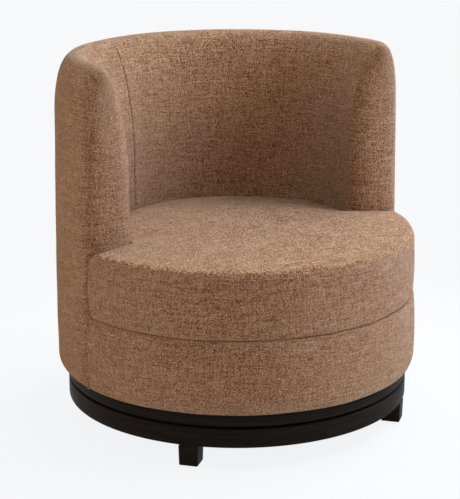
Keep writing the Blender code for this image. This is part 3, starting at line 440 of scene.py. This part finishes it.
def make_seat(material):
    """The crowned seat cushion: drawn in at its seam below, swelling, and rounded over its top edge."""
    levels = seat_levels(*SEAT_ROUNDING)
    side_levels = seat_levels(*SEAT_SIDE_ROUNDING)
    flat = seat_loop(0.0)
    run = arc_lengths(np.concatenate([flat, flat[:1]]))
    draw = pucker(run[:-1], 2.0)
    is_front = front_share(run[:-1], run[-1])[:, None]
    loops = []
    for (inset, z), (side_inset, side_z) in zip(levels, side_levels):
        loop = seat_loop(inset) * is_front + seat_loop(side_inset) * (1 - is_front)
        fall = np.exp(-(z - SEAM_HEIGHT) / PUCKER_FALL)
        stretch = 1 + draw[:, None] * PUCKER * fall * is_front / np.linalg.norm(loop, axis=1)[:, None]
        height = z * is_front + side_z * (1 - is_front)
        loops.append(np.concatenate([loop * stretch, height], -1))
    rim = loops[-1]
    for share in np.linspace(0, 1, SEAT_TOP_ROWS)[1:-1]:
        loop = rim * (1 - share)
        loop[:, 2] = rim[:, 2] + (SEAT_TOP - rim[:, 2]) * (1 - (1 - share) ** 2)
        loops.append(loop)
    grid = np.array(loops)
    rows, columns = grid.shape[:2]
    points = grid.reshape(-1, 3).tolist()
    points.append((0, 0, SEAT_TOP))
    top = len(points) - 1
    up = arc_lengths(np.stack([[-i for i, _ in levels], [z for _, z in levels]], -1))
    fold = len(levels) - SEAT_FOLD_ROWS
    # the top's cloth and the underside's are other parts of the bolt than the side's
    top_cloth = [(point[0] + 3.0, point[1] * TOP_STRETCH + 3.0) for point in points]
    faces, uvs = [], []
    for r in range(rows - 1):
        for c in range(columns):
            face = patch(columns, r, r + 1, c, (c + 1) % columns)
            faces.append(face)
            if r < fold:
                uvs += square(run[c], run[c + 1], up[r], up[r + 1])
            else:
                uvs += [top_cloth[i] for i in face]
    last = (rows - 1) * columns
    for c in range(columns):
        face = (last + c, last + (c + 1) % columns, top)
        faces.append(face)
        uvs += [top_cloth[i] for i in face]
    under = list(range(columns))
    faces.append(under)
    uvs += [(points[i][0] + 5.0, points[i][1]) for i in under]
    mesh = build_mesh("seat_cushion_upholstery", points, faces, uvs, SOFT_EDGE)
    soften(mesh, amount=0.0012, size=0.075, seed=7.7)
    piece = new_object("seat_cushion_upholstery", mesh, material, "seat")
    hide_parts("seat_cushion", "seat_foam")


def make_band(material):
    """The padded band under the seat, sewn to it above and turned under at its hem."""
    line = arm_plan(GAP * 2)
    distance = np.linalg.norm(line, axis=1)
    bearings = np.degrees(np.arctan2(line[:, 0], line[:, 1]))
    first = np.argmax(distance < BAND_RADIUS - GAP)
    last = np.argmax(distance < BAND_INNER)
    ends = [(bearings[i], distance[i]) for i in range(first, last)]
    front_start = bearings[last]
    front = front_start + (180 - front_start) * np.linspace(0, 1, BAND_COUNT) ** BAND_SPREAD
    bearing = np.array([b for b, _ in ends] + list(front))
    wall = np.array([r for _, r in ends] + [BAND_INNER] * BAND_COUNT)
    bearing = np.concatenate([bearing, 360 - bearing[-2::-1]])
    wall = np.concatenate([wall, wall[-2::-1]])
    top = SEAM_HEIGHT
    wide = BAND_RADIUS + BAND_FLARE
    hem = [(BAND_HEM_DEPTH * max(0.0, 1 - t) ** 2, HEM_HEIGHT * t) for t in HEM_SHARES]
    levels = [(wide - inset, BARREL_BOTTOM + rise) for inset, rise in hem]
    low, high = levels[-1][1], top - BAND_SIDE_TOP
    for share in np.linspace(0, 1, BAND_ROWS)[1:]:
        radius = wide - 2 * BAND_FLARE * share + BAND_SWELL * sin(pi * share)
        levels.append((radius, low + (high - low) * share))
    levels += [(BAND_RADIUS - BAND_FLARE - inset, top - fall) for inset, fall in BAND_PINCH]
    run = np.radians(bearing) * BAND_RADIUS
    draw = pucker(run, 5.0)
    turn = np.clip(1 - np.minimum(run - run[0], run[-1] - run) / BAND_CORNER, 0, 1)
    corner = BAND_CORNER_DEPTH * (1 - np.sqrt(1 - turn**2))
    rows = [around(wall, bearing, BARREL_BOTTOM)]
    for radius, z in levels:
        fall = np.exp(-(top - z) / PUCKER_FALL)
        r = np.maximum(radius - corner + draw * PUCKER * fall, wall + GAP)
        rows.append(around(r, bearing, z))
    rows.append(around(wall, bearing, top))
    grid = np.array(rows)
    count, columns = grid.shape[:2]
    foot = (BAND_INNER, BARREL_BOTTOM)
    up = arc_lengths(np.array([foot, *levels, (BAND_INNER, top), foot]))
    faces, uvs = [], []
    for r in range(count):
        for c in range(columns - 1):
            faces.append(patch(columns, r, (r + 1) % count, c, c + 1))
            uvs += square(run[c] + 1, run[c + 1] + 1, up[r], up[r + 1])
    for c in (0, columns - 1):
        faces.append([r * columns + c for r in range(count)])
        uvs += [(grid[r, c, 0], grid[r, c, 2]) for r in range(count)]
    mesh = build_mesh("front_band_upholstery", grid.reshape(-1, 3), faces, uvs, SOFT_EDGE)
    soften(mesh, amount=0.0008, size=0.07, seed=5.3)
    piece = new_object("front_band_upholstery", mesh, material, "seat")
    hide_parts("front_band")


# The rings, the dust cover and the webbing


def rounded_profile(inner, outer, bottom, top, outer_edge, inner_edge):
    """A ring's section as (radius, height) points with rounded edges."""
    corners = [
        (inner, bottom, inner_edge, 180),
        (outer, bottom, outer_edge, 270),
        (outer, top, outer_edge, 0),
        (inner, top, inner_edge, 90),
    ]
    points = []
    for r, z, edge, start in corners:
        centre_r = r + edge if r == inner else r - edge
        centre_z = z + edge if z == bottom else z - edge
        for step in range(6):
            turn = radians(start + 18 * step)
            points.append((centre_r + edge * cos(turn), centre_z + edge * sin(turn)))
    return points


def turned(profile, steps):
    """A closed section turned about +Z."""
    profile = np.array(profile)
    angles = np.linspace(0, 360, steps, endpoint=False)
    grid = around(profile[None, :, 0], angles[:, None], profile[None, :, 1])
    count = len(profile)
    faces = []
    for step in range(steps):
        following = (step + 1) % steps
        for i in range(count):
            faces.append(patch(count, step, following, i, (i + 1) % count))
    return grid.reshape(-1, 3), faces


def cut(piece, tools):
    """Cuts tools out of a piece for good."""
    for index, (points, faces) in enumerate(tools):
        tool = bpy.data.objects.new(f"tool_{index}", build_mesh(f"tool_{index}", points, faces))
        bpy.context.collection.objects.link(tool)
        modifier = piece.modifiers.new("cut", "BOOLEAN")
        modifier.operation = "DIFFERENCE"
        modifier.solver = "EXACT"
        modifier.object = tool
        bpy.context.view_layer.update()
        graph = bpy.context.evaluated_depsgraph_get()
        mesh = bpy.data.meshes.new_from_object(piece.evaluated_get(graph))
        piece.modifiers.clear()
        old = piece.data
        piece.data = mesh
        mesh.name = old.name.split(".")[0]
        bpy.data.meshes.remove(old)
        bpy.data.objects.remove(tool)
    piece.data.shade_smooth()
    piece.data.set_sharp_from_angle(angle=radians(HARD_EDGE))


def turned_box(size, centre, turn):
    """A box turned about +Z."""
    s, c = sin(turn), cos(turn)
    points = []
    for x in (-0.5, 0.5):
        for y in (-0.5, 0.5):
            for z in (-0.5, 0.5):
                a, b = x * size[0], y * size[1]
                place_x = centre[0] + a * c - b * s
                place_y = centre[1] + a * s + b * c
                points.append((place_x, place_y, centre[2] + z * size[2]))
    return points, [(0, 1, 3, 2), (4, 6, 7, 5), (0, 4, 5, 1), (2, 3, 7, 6), (0, 2, 6, 4), (1, 5, 7, 3)]


def make_ring(name, node, bar_node, open_side, body, material):
    """A turned wooden ring with rounded edges and pockets for its bars."""
    low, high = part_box(node)
    bar_low, bar_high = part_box(bar_node)
    profile = rounded_profile(RING_INNER, RING_RADIUS, low.z, high.z, RING_EDGE, RING_INNER_EDGE)
    mesh = build_mesh(name, *turned(profile, RING_STEPS), sharp=HARD_EDGE)
    piece = new_object(name, mesh, material, body)
    bottom = bar_low.z - (POCKET_OVERSHOOT if open_side < 0 else GAP)
    top = bar_high.z + (POCKET_OVERSHOOT if open_side > 0 else GAP)
    middle = RING_INNER + BAR_HOUSING + GAP - POCKET_LENGTH / 2
    tools = []
    for quarter in range(4):
        turn = quarter * pi / 2
        centre = (middle * cos(turn), middle * sin(turn), (bottom + top) / 2)
        tools.append(turned_box((POCKET_LENGTH, BAR_WIDTH + 2 * GAP, top - bottom), centre, turn))
    cut(piece, tools)
    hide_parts(node)


def make_dust_cloth(material):
    """The black cloth stapled under the seat, tight over the bars and slack in the open quarters."""
    low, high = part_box("dust_cover")
    # rows for the slack part, and a few for the edge under the staples
    radii = np.concatenate([np.linspace(0.004, 0.27, 44), np.linspace(0.276, DUST_RADIUS, 5)])
    angles = np.linspace(0, 360, DUST_COLUMNS, endpoint=False)
    flat = around(radii[:, None], angles[None, :], 0.0)
    x, y = flat[..., 0], flat[..., 1]
    beside_bars = [np.clip((np.abs(side) - DUST_FREE_FROM) / DUST_FREE_FADE, 0, 1) for side in (x, y)]
    open_quarter = beside_bars[0] * beside_bars[1]
    slack = np.clip((DUST_HELD_AT - radii[:, None]) / DUST_HELD_FADE, 0, 1)
    smooth = open_quarter * open_quarter * (3 - 2 * open_quarter) * slack * slack * (3 - 2 * slack)
    ripple_places = flat.reshape(-1, 3) * DUST_RIPPLE_SCALE + (0, 0, 4.2)
    ripple = np.array([noise.noise(Vector(point)) for point in ripple_places]).reshape(x.shape)
    sag = smooth * (DUST_SAG + DUST_RIPPLE * ripple)
    sheets = []
    for z in (low.z, high.z):
        sheet = flat.copy()
        sheet[..., 2] = z - sag
        sheets.append(sheet.reshape(-1, 3))
    count, columns = flat.shape[:2]
    points = np.concatenate([*sheets, [(0, 0, low.z), (0, 0, high.z)]])
    faces = []
    for layer in (0, 1):
        first = layer * count
        for r in range(first, first + count - 1):
            faces += [patch(columns, r, r + 1, c, (c + 1) % columns) for c in range(columns)]
        start = first * columns
        centre = 2 * count * columns + layer
        faces += [(start + c, start + (c + 1) % columns, centre) for c in range(columns)]
    faces += [patch(columns, count - 1, 2 * count - 1, c, (c + 1) % columns) for c in range(columns)]
    uvs = [(points[i][0], points[i][1]) for face in faces for i in face]
    mesh = build_mesh("dust_cloth", points, faces, uvs, sharp=40)
    piece = new_object("dust_cloth", mesh, material, "seat")
    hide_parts("dust_cover")


def make_straps(material):
    """Elastic straps under the seat, woven over and under each other."""
    low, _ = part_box("seat_webbing")
    middle = low.z + STRAP_LEVEL
    offsets = [STRAP_PITCH * (i - (STRAP_COUNT - 1) / 2) for i in range(STRAP_COUNT)]
    section = [(-0.5, -0.3), (-0.49, -0.5), (-0.3, -0.5), (0.3, -0.5), (0.49, -0.5), (0.5, -0.3)]
    section += [(0.5, 0.3), (0.49, 0.5), (0.3, 0.5), (-0.3, 0.5), (-0.49, 0.5), (-0.5, 0.3)]
    points, faces, uvs = [], [], []
    for way in (0, 1):
        for number, offset in enumerate(offsets):
            reach = (STRAP_REACH**2 - (abs(offset) + STRAP_WIDTH / 2) ** 2) ** 0.5
            stops = np.linspace(-reach, reach, STRAP_STOPS)
            first = len(points)
            for s in stops:
                nearest = min(range(STRAP_COUNT), key=lambda i: abs(offsets[i] - s))
                sign = 1 if (nearest + number + way) % 2 == 0 else -1
                beside = abs(offsets[nearest] - s) - STRAP_WIDTH / 2
                weight = 1 - np.clip(beside / STRAP_BEND, 0, 1) ** 2
                z = middle + sign * STRAP_LIFT * weight
                for a, b in section:
                    across = offset + a * STRAP_WIDTH
                    place = (s, across) if way else (across, s)
                    points.append((*place, z + b * STRAP_THICKNESS))
            size = len(section)
            for i in range(len(stops) - 1):
                for j in range(size):
                    k = (j + 1) % size
                    faces.append([first + corner for corner in patch(size, i, i + 1, j, k)])
                    start, stop = stops[i] + number, stops[i + 1] + number
                    a, b = section[j][0] * STRAP_WIDTH, section[k][0] * STRAP_WIDTH
                    uvs += [(start, a), (start, b), (stop, b), (stop, a)]
            for end in (first, first + (len(stops) - 1) * size):
                faces.append([end + j for j in range(size)])
                uvs += [(0.0, 0.0)] * size
    mesh = build_mesh("seat_straps", points, faces, uvs, sharp=50)
    piece = new_object("seat_straps", mesh, material, "seat")
    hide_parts("seat_webbing")


# Materials


class Nodes:
    """Short calls that add shader nodes to one material."""

    def __init__(self, name):
        self.material = bpy.data.materials.new(name)
        self.material.use_nodes = True
        self.tree = self.material.node_tree
        self.shader = self.tree.nodes["Principled BSDF"]

    def add(self, kind, **inputs):
        node = self.tree.nodes.new(kind)
        for name, value in inputs.items():
            self.set(node, name, value)
        return node

    def set(self, node, name, value):
        """Sets or links an input, called by its name or, as _0, by its number."""
        by_number = name[0] == "_" and name[1:].isdigit()
        socket = node.inputs[int(name[1:]) if by_number else name.replace("_", " ")]
        if isinstance(value, bpy.types.NodeSocket):
            self.tree.links.new(value, socket)
        else:
            socket.default_value = value

    def math(self, operation, a, b=None, c=None):
        node = self.tree.nodes.new("ShaderNodeMath")
        node.operation = operation
        for index, value in enumerate((a, b, c)):
            if value is not None:
                self.set(node, f"_{index}", value)
        return node.outputs[0]

    def total(self, first, *others):
        """The sum of values, each given with its weight."""
        value = self.math("MULTIPLY", *first)
        for term, weight in others:
            value = self.math("MULTIPLY_ADD", term, weight, value)
        return value

    def place(self):
        """Places in the piece's own coordinates."""
        return self.add("ShaderNodeTexCoord").outputs["Object"]

    def cloth(self):
        """Places on the cloth, in metres."""
        node = self.add("ShaderNodeUVMap")
        node.uv_map = "cloth"
        return node.outputs[0]

    def vector(self, x, y, z=0.0):
        node = self.add("ShaderNodeCombineXYZ", X=x, Y=y, Z=z)
        return node.outputs[0]

    def stretched(self, *pairs):
        """A place from three values, each times its factor."""
        return self.vector(*[self.math("MULTIPLY", value, factor) for value, factor in pairs])

    def parts(self, vector):
        node = self.add("ShaderNodeSeparateXYZ", Vector=vector)
        return node.outputs

    def length(self, x, y):
        squares = [self.math("MULTIPLY", value, value) for value in (x, y)]
        return self.math("SQRT", self.math("ADD", *squares))

    def noise(self, vector, scale=1.0, detail=2.0, roughness=0.5, flat=False):
        node = self.add("ShaderNodeTexNoise", Vector=vector, Scale=scale, Detail=detail)
        self.set(node, "Roughness", roughness)
        node.noise_dimensions = "2D" if flat else "3D"
        return node.outputs["Fac"]

    def remap(self, value, low, high, to_low=0.0, to_high=1.0, smooth=False):
        node = self.add("ShaderNodeMapRange", Value=value, From_Min=low, From_Max=high)
        self.set(node, "To_Min", to_low)
        self.set(node, "To_Max", to_high)
        node.interpolation_type = "SMOOTHSTEP" if smooth else "LINEAR"
        return node.outputs[0]

    def ramp(self, value, *stops):
        """Colours set at places from 0 to 1, and blended between them."""
        node = self.add("ShaderNodeValToRGB", Fac=value)
        elements = node.color_ramp.elements
        while len(elements) < len(stops):
            elements.new(0.5)
        for element, (place, colour) in zip(elements, stops):
            element.position = place
            element.color = (*colour, 1)
        return node.outputs[0]

    def mix(self, factor, a, b):
        """Mixes colours."""
        node = self.tree.nodes.new("ShaderNodeMix")
        node.data_type = "RGBA"
        for name, value in (("_0", factor), ("_6", a), ("_7", b)):
            self.set(node, name, value)
        return node.outputs[2]

    def blend(self, factor, a, b):
        """Mixes numbers."""
        node = self.tree.nodes.new("ShaderNodeMix")
        for name, value in (("_0", factor), ("_2", a), ("_3", b)):
            self.set(node, name, value)
        return node.outputs[0]

    def bump(self, height, strength, distance):
        node = self.add("ShaderNodeBump", Height=height, Strength=strength, Distance=distance)
        return node.outputs[0]

    def finish(self, **inputs):
        for name, value in inputs.items():
            self.set(self.shader, name, value)
        return self.material


# (name, pitch, seed, slubs in a metre, strength of the slubs) of the two ways of the weave
THREADS = (("weft", 0.0016, 3.3, 22.0, 1.0), ("warp", 0.0018, 8.1, 32.0, 0.75))
FLECKS_IN_A_METRE = 460.0
THREAD_WANDER = 0.0024
THREAD_STEP = 7.31  # how far apart two neighbouring threads lie in the noise
# (place, colour) from the dark flecks to the light ones
CLOTH_COLOURS = (
    (0.0, (0.125, 0.018, 0.0005)),
    (0.47, (0.376, 0.196, 0.090)),
    (1.0, (0.645, 0.405, 0.285)),
)
CLOTH_TONES = (1.757, 2.387)  # the weave's sum of noises at both ends of its colours


def upholstery_material():
    """Linen-like weave: uneven warp and weft threads with slubs, mottled brown, and a soft sheen."""
    n = Nodes("upholstery_weave")
    cloth = n.cloth()
    u, v, _ = n.parts(cloth)
    wander = n.noise(cloth, scale=38.0, flat=True)
    threads = {}
    for name, pitch, seed, slubs, strength in THREADS:
        across, along = (v, u) if name == "weft" else (u, v)
        bent = n.math("MULTIPLY_ADD", wander, THREAD_WANDER, across)
        count = n.math("DIVIDE", bent, pitch)
        offset = n.math("MULTIPLY_ADD", n.math("FLOOR", count), THREAD_STEP, seed)
        slub_place = n.vector(n.math("MULTIPLY", along, slubs), offset)
        slub = n.noise(slub_place, detail=1.5, roughness=0.6, flat=True)
        slub = n.math("MULTIPLY_ADD", slub, strength, 0.5 - 0.5 * strength)
        fleck_place = n.vector(n.math("MULTIPLY", along, FLECKS_IN_A_METRE), offset)
        fleck = n.noise(fleck_place, detail=1.0, roughness=0.6, flat=True)
        ridge = n.math("SINE", n.math("MULTIPLY", n.math("FRACT", count), pi))
        threads[name] = (slub, fleck, ridge, n.math("SINE", n.math("MULTIPLY", count, pi)))
    # which of the two threads lies on top
    over = n.remap(n.math("MULTIPLY", threads["weft"][3], threads["warp"][3]), -0.3, 0.3, smooth=True)
    slub, fleck, ridge = [n.blend(over, a, b) for a, b in zip(threads["warp"][:3], threads["weft"][:3])]
    mottle = n.noise(cloth, scale=14.0, detail=3.0, roughness=0.6, flat=True)
    grain = n.noise(cloth, scale=760.0, roughness=0.7, flat=True)
    relief = n.noise(cloth, scale=200.0, detail=3.0, roughness=0.8, flat=True)
    tone = n.total((fleck, 1.7), (slub, 1.0), (grain, 1.3), (mottle, 0.05))
    level = n.remap(tone, *CLOTH_TONES)
    height = n.total((ridge, 1.0), (slub, 0.9), (grain, 0.8), (relief, 2.1))
    return n.finish(
        Base_Color=n.ramp(level, *CLOTH_COLOURS),
        Roughness=n.remap(level, 0.0, 1.0, 0.95, 0.82),
        Normal=n.bump(height, strength=0.9, distance=0.0012),
        Specular_IOR_Level=0.0,
        Sheen_Weight=0.38,
        Sheen_Roughness=0.3,
        Sheen_Tint=(1.0, 0.88, 0.74, 1),
    )


def wood_material():
    """Black lacquered wood: faint grain along the ring, and uneven gloss."""
    n = Nodes("black_lacquer")
    place = n.place()
    x, y, z = n.parts(place)
    turn = n.math("ARCTAN2", x, y)
    along_grain = n.stretched((turn, 3.0), (n.length(x, y), 160.0), (z, 260.0))
    grain = n.noise(along_grain, detail=4.0, roughness=0.6)
    cloud = n.noise(place, scale=22.0, detail=3.0, roughness=0.6)
    colour = n.mix(n.remap(grain, 0.35, 0.7), (0.0075, 0.0056, 0.0042, 1), (0.0165, 0.0130, 0.0102, 1))
    rough = n.math("MULTIPLY_ADD", grain, 0.14, n.remap(cloud, 0.3, 0.7, 0.36, 0.48))
    return n.finish(
        Base_Color=colour,
        Roughness=rough,
        Normal=n.bump(grain, strength=0.12, distance=0.0004),
        Specular_IOR_Level=0.03,
    )


def metal_material(name, dark, light, rough_low, rough_high, scale):
    """Plated or polished steel with faint clouds and a fine unevenness."""
    n = Nodes(name)
    place = n.place()
    cloud = n.noise(place, scale, detail=4.0, roughness=0.65)
    fine = n.noise(place, scale * 9)
    colour = n.mix(n.remap(cloud, 0.3, 0.7), dark, light)
    rough = n.math("MULTIPLY_ADD", fine, 0.1, n.remap(cloud, 0.3, 0.7, rough_low, rough_high))
    relief = n.bump(fine, strength=0.1, distance=0.0002)
    return n.finish(Base_Color=colour, Roughness=rough, Metallic=1.0, Normal=relief)


def layered_wood_material(name, dark, light, layers):
    """Raw plywood or board: pressed layers along Z with long fibres."""
    n = Nodes(name)
    place = n.place()
    x, y, z = n.parts(place)
    fibre = n.noise(n.stretched((x, 40.0), (y, 400.0), (z, 400.0)), detail=4.0, roughness=0.6)
    ply = n.math("SINE", n.math("MULTIPLY", z, layers))
    tone = n.math("MULTIPLY_ADD", ply, 0.22, fibre)
    colour = n.mix(n.remap(tone, 0.2, 0.8), dark, light)
    rough = n.remap(fibre, 0.2, 0.8, 0.6, 0.85)
    relief = n.bump(fibre, strength=0.3, distance=0.0004)
    return n.finish(Base_Color=colour, Roughness=rough, Normal=relief)


def speckled_material(name, dark, light, scale, rough_low, distance):
    """Foam, fleece or moulded nylon: a fine even speckle."""
    n = Nodes(name)
    place = n.place()
    fine = n.noise(place, scale, detail=3.0, roughness=0.7)
    cloud = n.noise(place, scale / 30)
    tone = n.math("MULTIPLY_ADD", cloud, 0.5, fine)
    colour = n.mix(n.remap(tone, 0.5, 1.0), dark, light)
    rough = n.remap(fine, 0.3, 0.7, rough_low, rough_low + 0.12)
    relief = n.bump(fine, strength=0.5, distance=distance)
    return n.finish(Base_Color=colour, Roughness=rough, Normal=relief)


def strap_material():
    """Woven elastic webbing with a ribbed face and lengthwise threads."""
    n = Nodes("elastic_webbing")
    cloth = n.cloth()
    along, across, _ = n.parts(cloth)
    ribs = n.math("SINE", n.math("MULTIPLY", along, 3600.0))
    threads = n.math("SINE", n.math("MULTIPLY", across, 3000.0))
    speck = n.noise(cloth, scale=600.0, roughness=0.6, flat=True)
    tone = n.math("MULTIPLY_ADD", n.math("MULTIPLY", ribs, threads), 0.3, speck)
    colour = n.mix(n.remap(tone, 0.2, 0.9), (0.035, 0.035, 0.04, 1), (0.13, 0.13, 0.14, 1))
    rough = n.remap(speck, 0.3, 0.7, 0.8, 0.95)
    relief = n.bump(tone, strength=0.6, distance=0.0004)
    return n.finish(Base_Color=colour, Roughness=rough, Normal=relief)


# Floor, light and camera

BACKGROUND = (0.9301, 0.9387, 0.9559, 1)
AMBIENT = (1.0, 0.91, 0.76, 1)
AMBIENT_STRENGTH = 0.018
FLOOR_REACH = 8.0
FLOOR_COLOURS = ((0.85, 0.855, 0.865, 1), (0.88, 0.885, 0.895, 1))
SHADOW_NEAR = 0.35  # the floor's shadow fades out between these distances from the chair's axis
SHADOW_FAR = 1.3
SHADOW_SHARE = 0.07  # how much of the floor's shading shows against its glow
LAMP_AIM = Vector((0, 0, 0.4))


def sees_backdrop(tree):
    """1 for the rays that see the pale backdrop: the camera's, and those reflected or let through."""
    path = tree.nodes.new("ShaderNodeLightPath")
    share = path.outputs["Is Camera Ray"]
    for ray in ("Is Glossy Ray", "Is Transmission Ray"):
        either = tree.nodes.new("ShaderNodeMath")
        either.operation = "MAXIMUM"
        tree.links.new(share, either.inputs[0])
        tree.links.new(path.outputs[ray], either.inputs[1])
        share = either.outputs[0]
    return share


def make_world():
    world = bpy.data.worlds.new("studio")
    bpy.context.scene.world = world
    world.use_nodes = True
    tree = world.node_tree
    ambient = tree.nodes["Background"]
    ambient.inputs["Color"].default_value = AMBIENT
    ambient.inputs["Strength"].default_value = AMBIENT_STRENGTH
    backdrop = tree.nodes.new("ShaderNodeBackground")
    backdrop.inputs["Color"].default_value = BACKGROUND
    mix = tree.nodes.new("ShaderNodeMixShader")
    tree.links.new(sees_backdrop(tree), mix.inputs[0])
    tree.links.new(ambient.outputs[0], mix.inputs[1])
    tree.links.new(backdrop.outputs[0], mix.inputs[2])
    tree.links.new(mix.outputs[0], tree.nodes["World Output"].inputs["Surface"])


def make_floor():
    """A pale floor that keeps a soft shadow near the chair and runs into the backdrop's colour."""
    mesh = bpy.data.meshes.new("floor")
    corners = [(-1, -1, 0), (1, -1, 0), (1, 1, 0), (-1, 1, 0)]
    mesh.from_pydata([(FLOOR_REACH * x, FLOOR_REACH * y, z) for x, y, z in corners], [], [(0, 1, 2, 3)])
    floor = bpy.data.objects.new("floor", mesh)
    bpy.context.collection.objects.link(floor)
    n = Nodes("pale_floor")
    tree = n.tree
    tree.nodes.remove(n.shader)
    place = n.place()
    x, y, _ = n.parts(place)
    shadow_share = n.remap(n.length(x, y), SHADOW_NEAR, SHADOW_FAR, SHADOW_SHARE, 0.0, smooth=True)
    speck = n.noise(place, scale=60.0, detail=3.0, roughness=0.6)
    colour = n.mix(n.remap(speck, 0.3, 0.7), *FLOOR_COLOURS)
    diffuse = n.add("ShaderNodeBsdfDiffuse", Color=colour).outputs[0]
    glow = n.add("ShaderNodeEmission", Color=BACKGROUND).outputs[0]
    near_mix = n.add("ShaderNodeMixShader", _0=shadow_share, _1=glow, _2=diffuse)
    seen_mix = n.add("ShaderNodeMixShader", _0=sees_backdrop(tree), _1=diffuse, _2=near_mix.outputs[0])
    tree.links.new(seen_mix.outputs[0], tree.nodes["Material Output"].inputs["Surface"])
    mesh.materials.append(n.material)


def place_facing(piece, aim, azimuth, elevation, distance):
    """Puts a lamp or the camera at angles in radians, from the front towards +X and up, facing its aim."""
    towards = Vector((sin(azimuth) * cos(elevation), -cos(azimuth) * cos(elevation), sin(elevation)))
    piece.location = aim + distance * towards
    piece.rotation_euler = (piece.location - aim).to_track_quat("Z", "Y").to_euler()


LAMPS = {
    # name: (azimuth from the front towards +X, elevation, distance, side, power, colour)
    "key": (60, 42, 2.6, 1.3, 78.0, (0.73, 0.85, 1.0)),
    "right_back": (105, 42, 2.6, 1.3, 80.0, (0.73, 0.90, 1.0)),
    "right_low": (60, 12, 2.6, 1.3, 13.0, (1.0, 0.76, 0.70)),
    "top": (-30, 85, 2.4, 1.6, 21.0, (0.82, 0.97, 1.0)),
    "left": (-115, 12, 2.6, 1.3, 29.0, (1.0, 0.80, 0.61)),
    "front": (-32, 22, 2.6, 1.3, 16.5, (1.0, 0.88, 0.70)),
    "back": (172, 42, 2.6, 1.3, 21.0, (0.85, 0.93, 1.0)),
}


def make_lamps():
    for name, (azimuth, elevation, distance, side, power, colour) in LAMPS.items():
        data = bpy.data.lights.new(f"softbox_{name}", "AREA")
        data.size = side
        data.energy = power
        data.color = colour
        lamp = bpy.data.objects.new(f"softbox_{name}", data)
        bpy.context.collection.objects.link(lamp)
        place_facing(lamp, LAMP_AIM, radians(azimuth), radians(elevation), distance)


def make_camera():
    data = bpy.data.cameras.new("camera")
    data.lens = CAMERA_LENS
    data.shift_x = CAMERA_SHIFT
    camera = bpy.data.objects.new("camera", data)
    bpy.context.collection.objects.link(camera)
    place_facing(camera, Vector((0, 0, CAMERA_AIM)), CAMERA_AZIMUTH, CAMERA_ELEVATION, CAMERA_DISTANCE)
    bpy.context.scene.camera = camera


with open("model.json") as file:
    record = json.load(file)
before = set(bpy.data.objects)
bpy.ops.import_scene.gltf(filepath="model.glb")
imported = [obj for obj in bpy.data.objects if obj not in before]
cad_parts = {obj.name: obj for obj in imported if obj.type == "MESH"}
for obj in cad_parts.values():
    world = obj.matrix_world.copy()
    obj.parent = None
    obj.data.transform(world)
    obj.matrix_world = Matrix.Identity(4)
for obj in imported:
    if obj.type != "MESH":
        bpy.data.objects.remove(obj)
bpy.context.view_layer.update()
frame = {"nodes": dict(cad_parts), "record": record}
bpy.context.scene.view_settings.view_transform = "Standard"
make_camera()

weave = upholstery_material()
lacquer = wood_material()
nylon = ("moulded_nylon", (0.018, 0.018, 0.018, 1), (0.045, 0.045, 0.045, 1))
zinc = ("zinc_plate", (0.42, 0.43, 0.45, 1), (0.66, 0.67, 0.68, 1))
steel = ("bright_steel", (0.60, 0.60, 0.62, 1), (0.80, 0.80, 0.81, 1))
plywood = ("raw_plywood", (0.36, 0.24, 0.13, 1), (0.66, 0.49, 0.31, 1))
hardboard = ("hardboard", (0.17, 0.105, 0.06, 1), (0.33, 0.22, 0.14, 1))
fleece = ("black_fleece", (0.010, 0.010, 0.010, 1), (0.035, 0.035, 0.035, 1))
foam = ("foam", (0.55, 0.48, 0.26, 1), (0.82, 0.76, 0.55, 1))
finishes = {
    "upholstery": weave,
    "black_wood": lacquer,
    "nylon": speckled_material(*nylon, scale=900.0, rough_low=0.42, distance=0.0001),
    "zinc_steel": metal_material(*zinc, rough_low=0.28, rough_high=0.42, scale=90.0),
    "bright_steel": metal_material(*steel, rough_low=0.16, rough_high=0.28, scale=140.0),
    "plywood": layered_wood_material(*plywood, layers=2400.0),
    "hardboard": layered_wood_material(*hardboard, layers=300.0),
    "webbing": strap_material(),
    "dust_cloth": speckled_material(*fleece, scale=700.0, rough_low=0.85, distance=0.0004),
    "foam": speckled_material(*foam, scale=500.0, rough_low=0.85, distance=0.0005),
}
for part in frame["record"]["subparts"]:
    for material_slot in frame["nodes"][part["node"]].material_slots:
        material_slot.material = finishes[part["material_slot"]]

make_barrel(weave)
make_seat(weave)
make_band(weave)
make_ring("base_ring_turned", "base_ring", "base_bar_x", -1, "base", lacquer)
make_ring("plinth_ring_turned", "plinth_ring", "plinth_bar_x", 1, "seat", lacquer)
make_dust_cloth(finishes["dust_cloth"])
make_straps(finishes["webbing"])

make_floor()
make_world()
make_lamps()
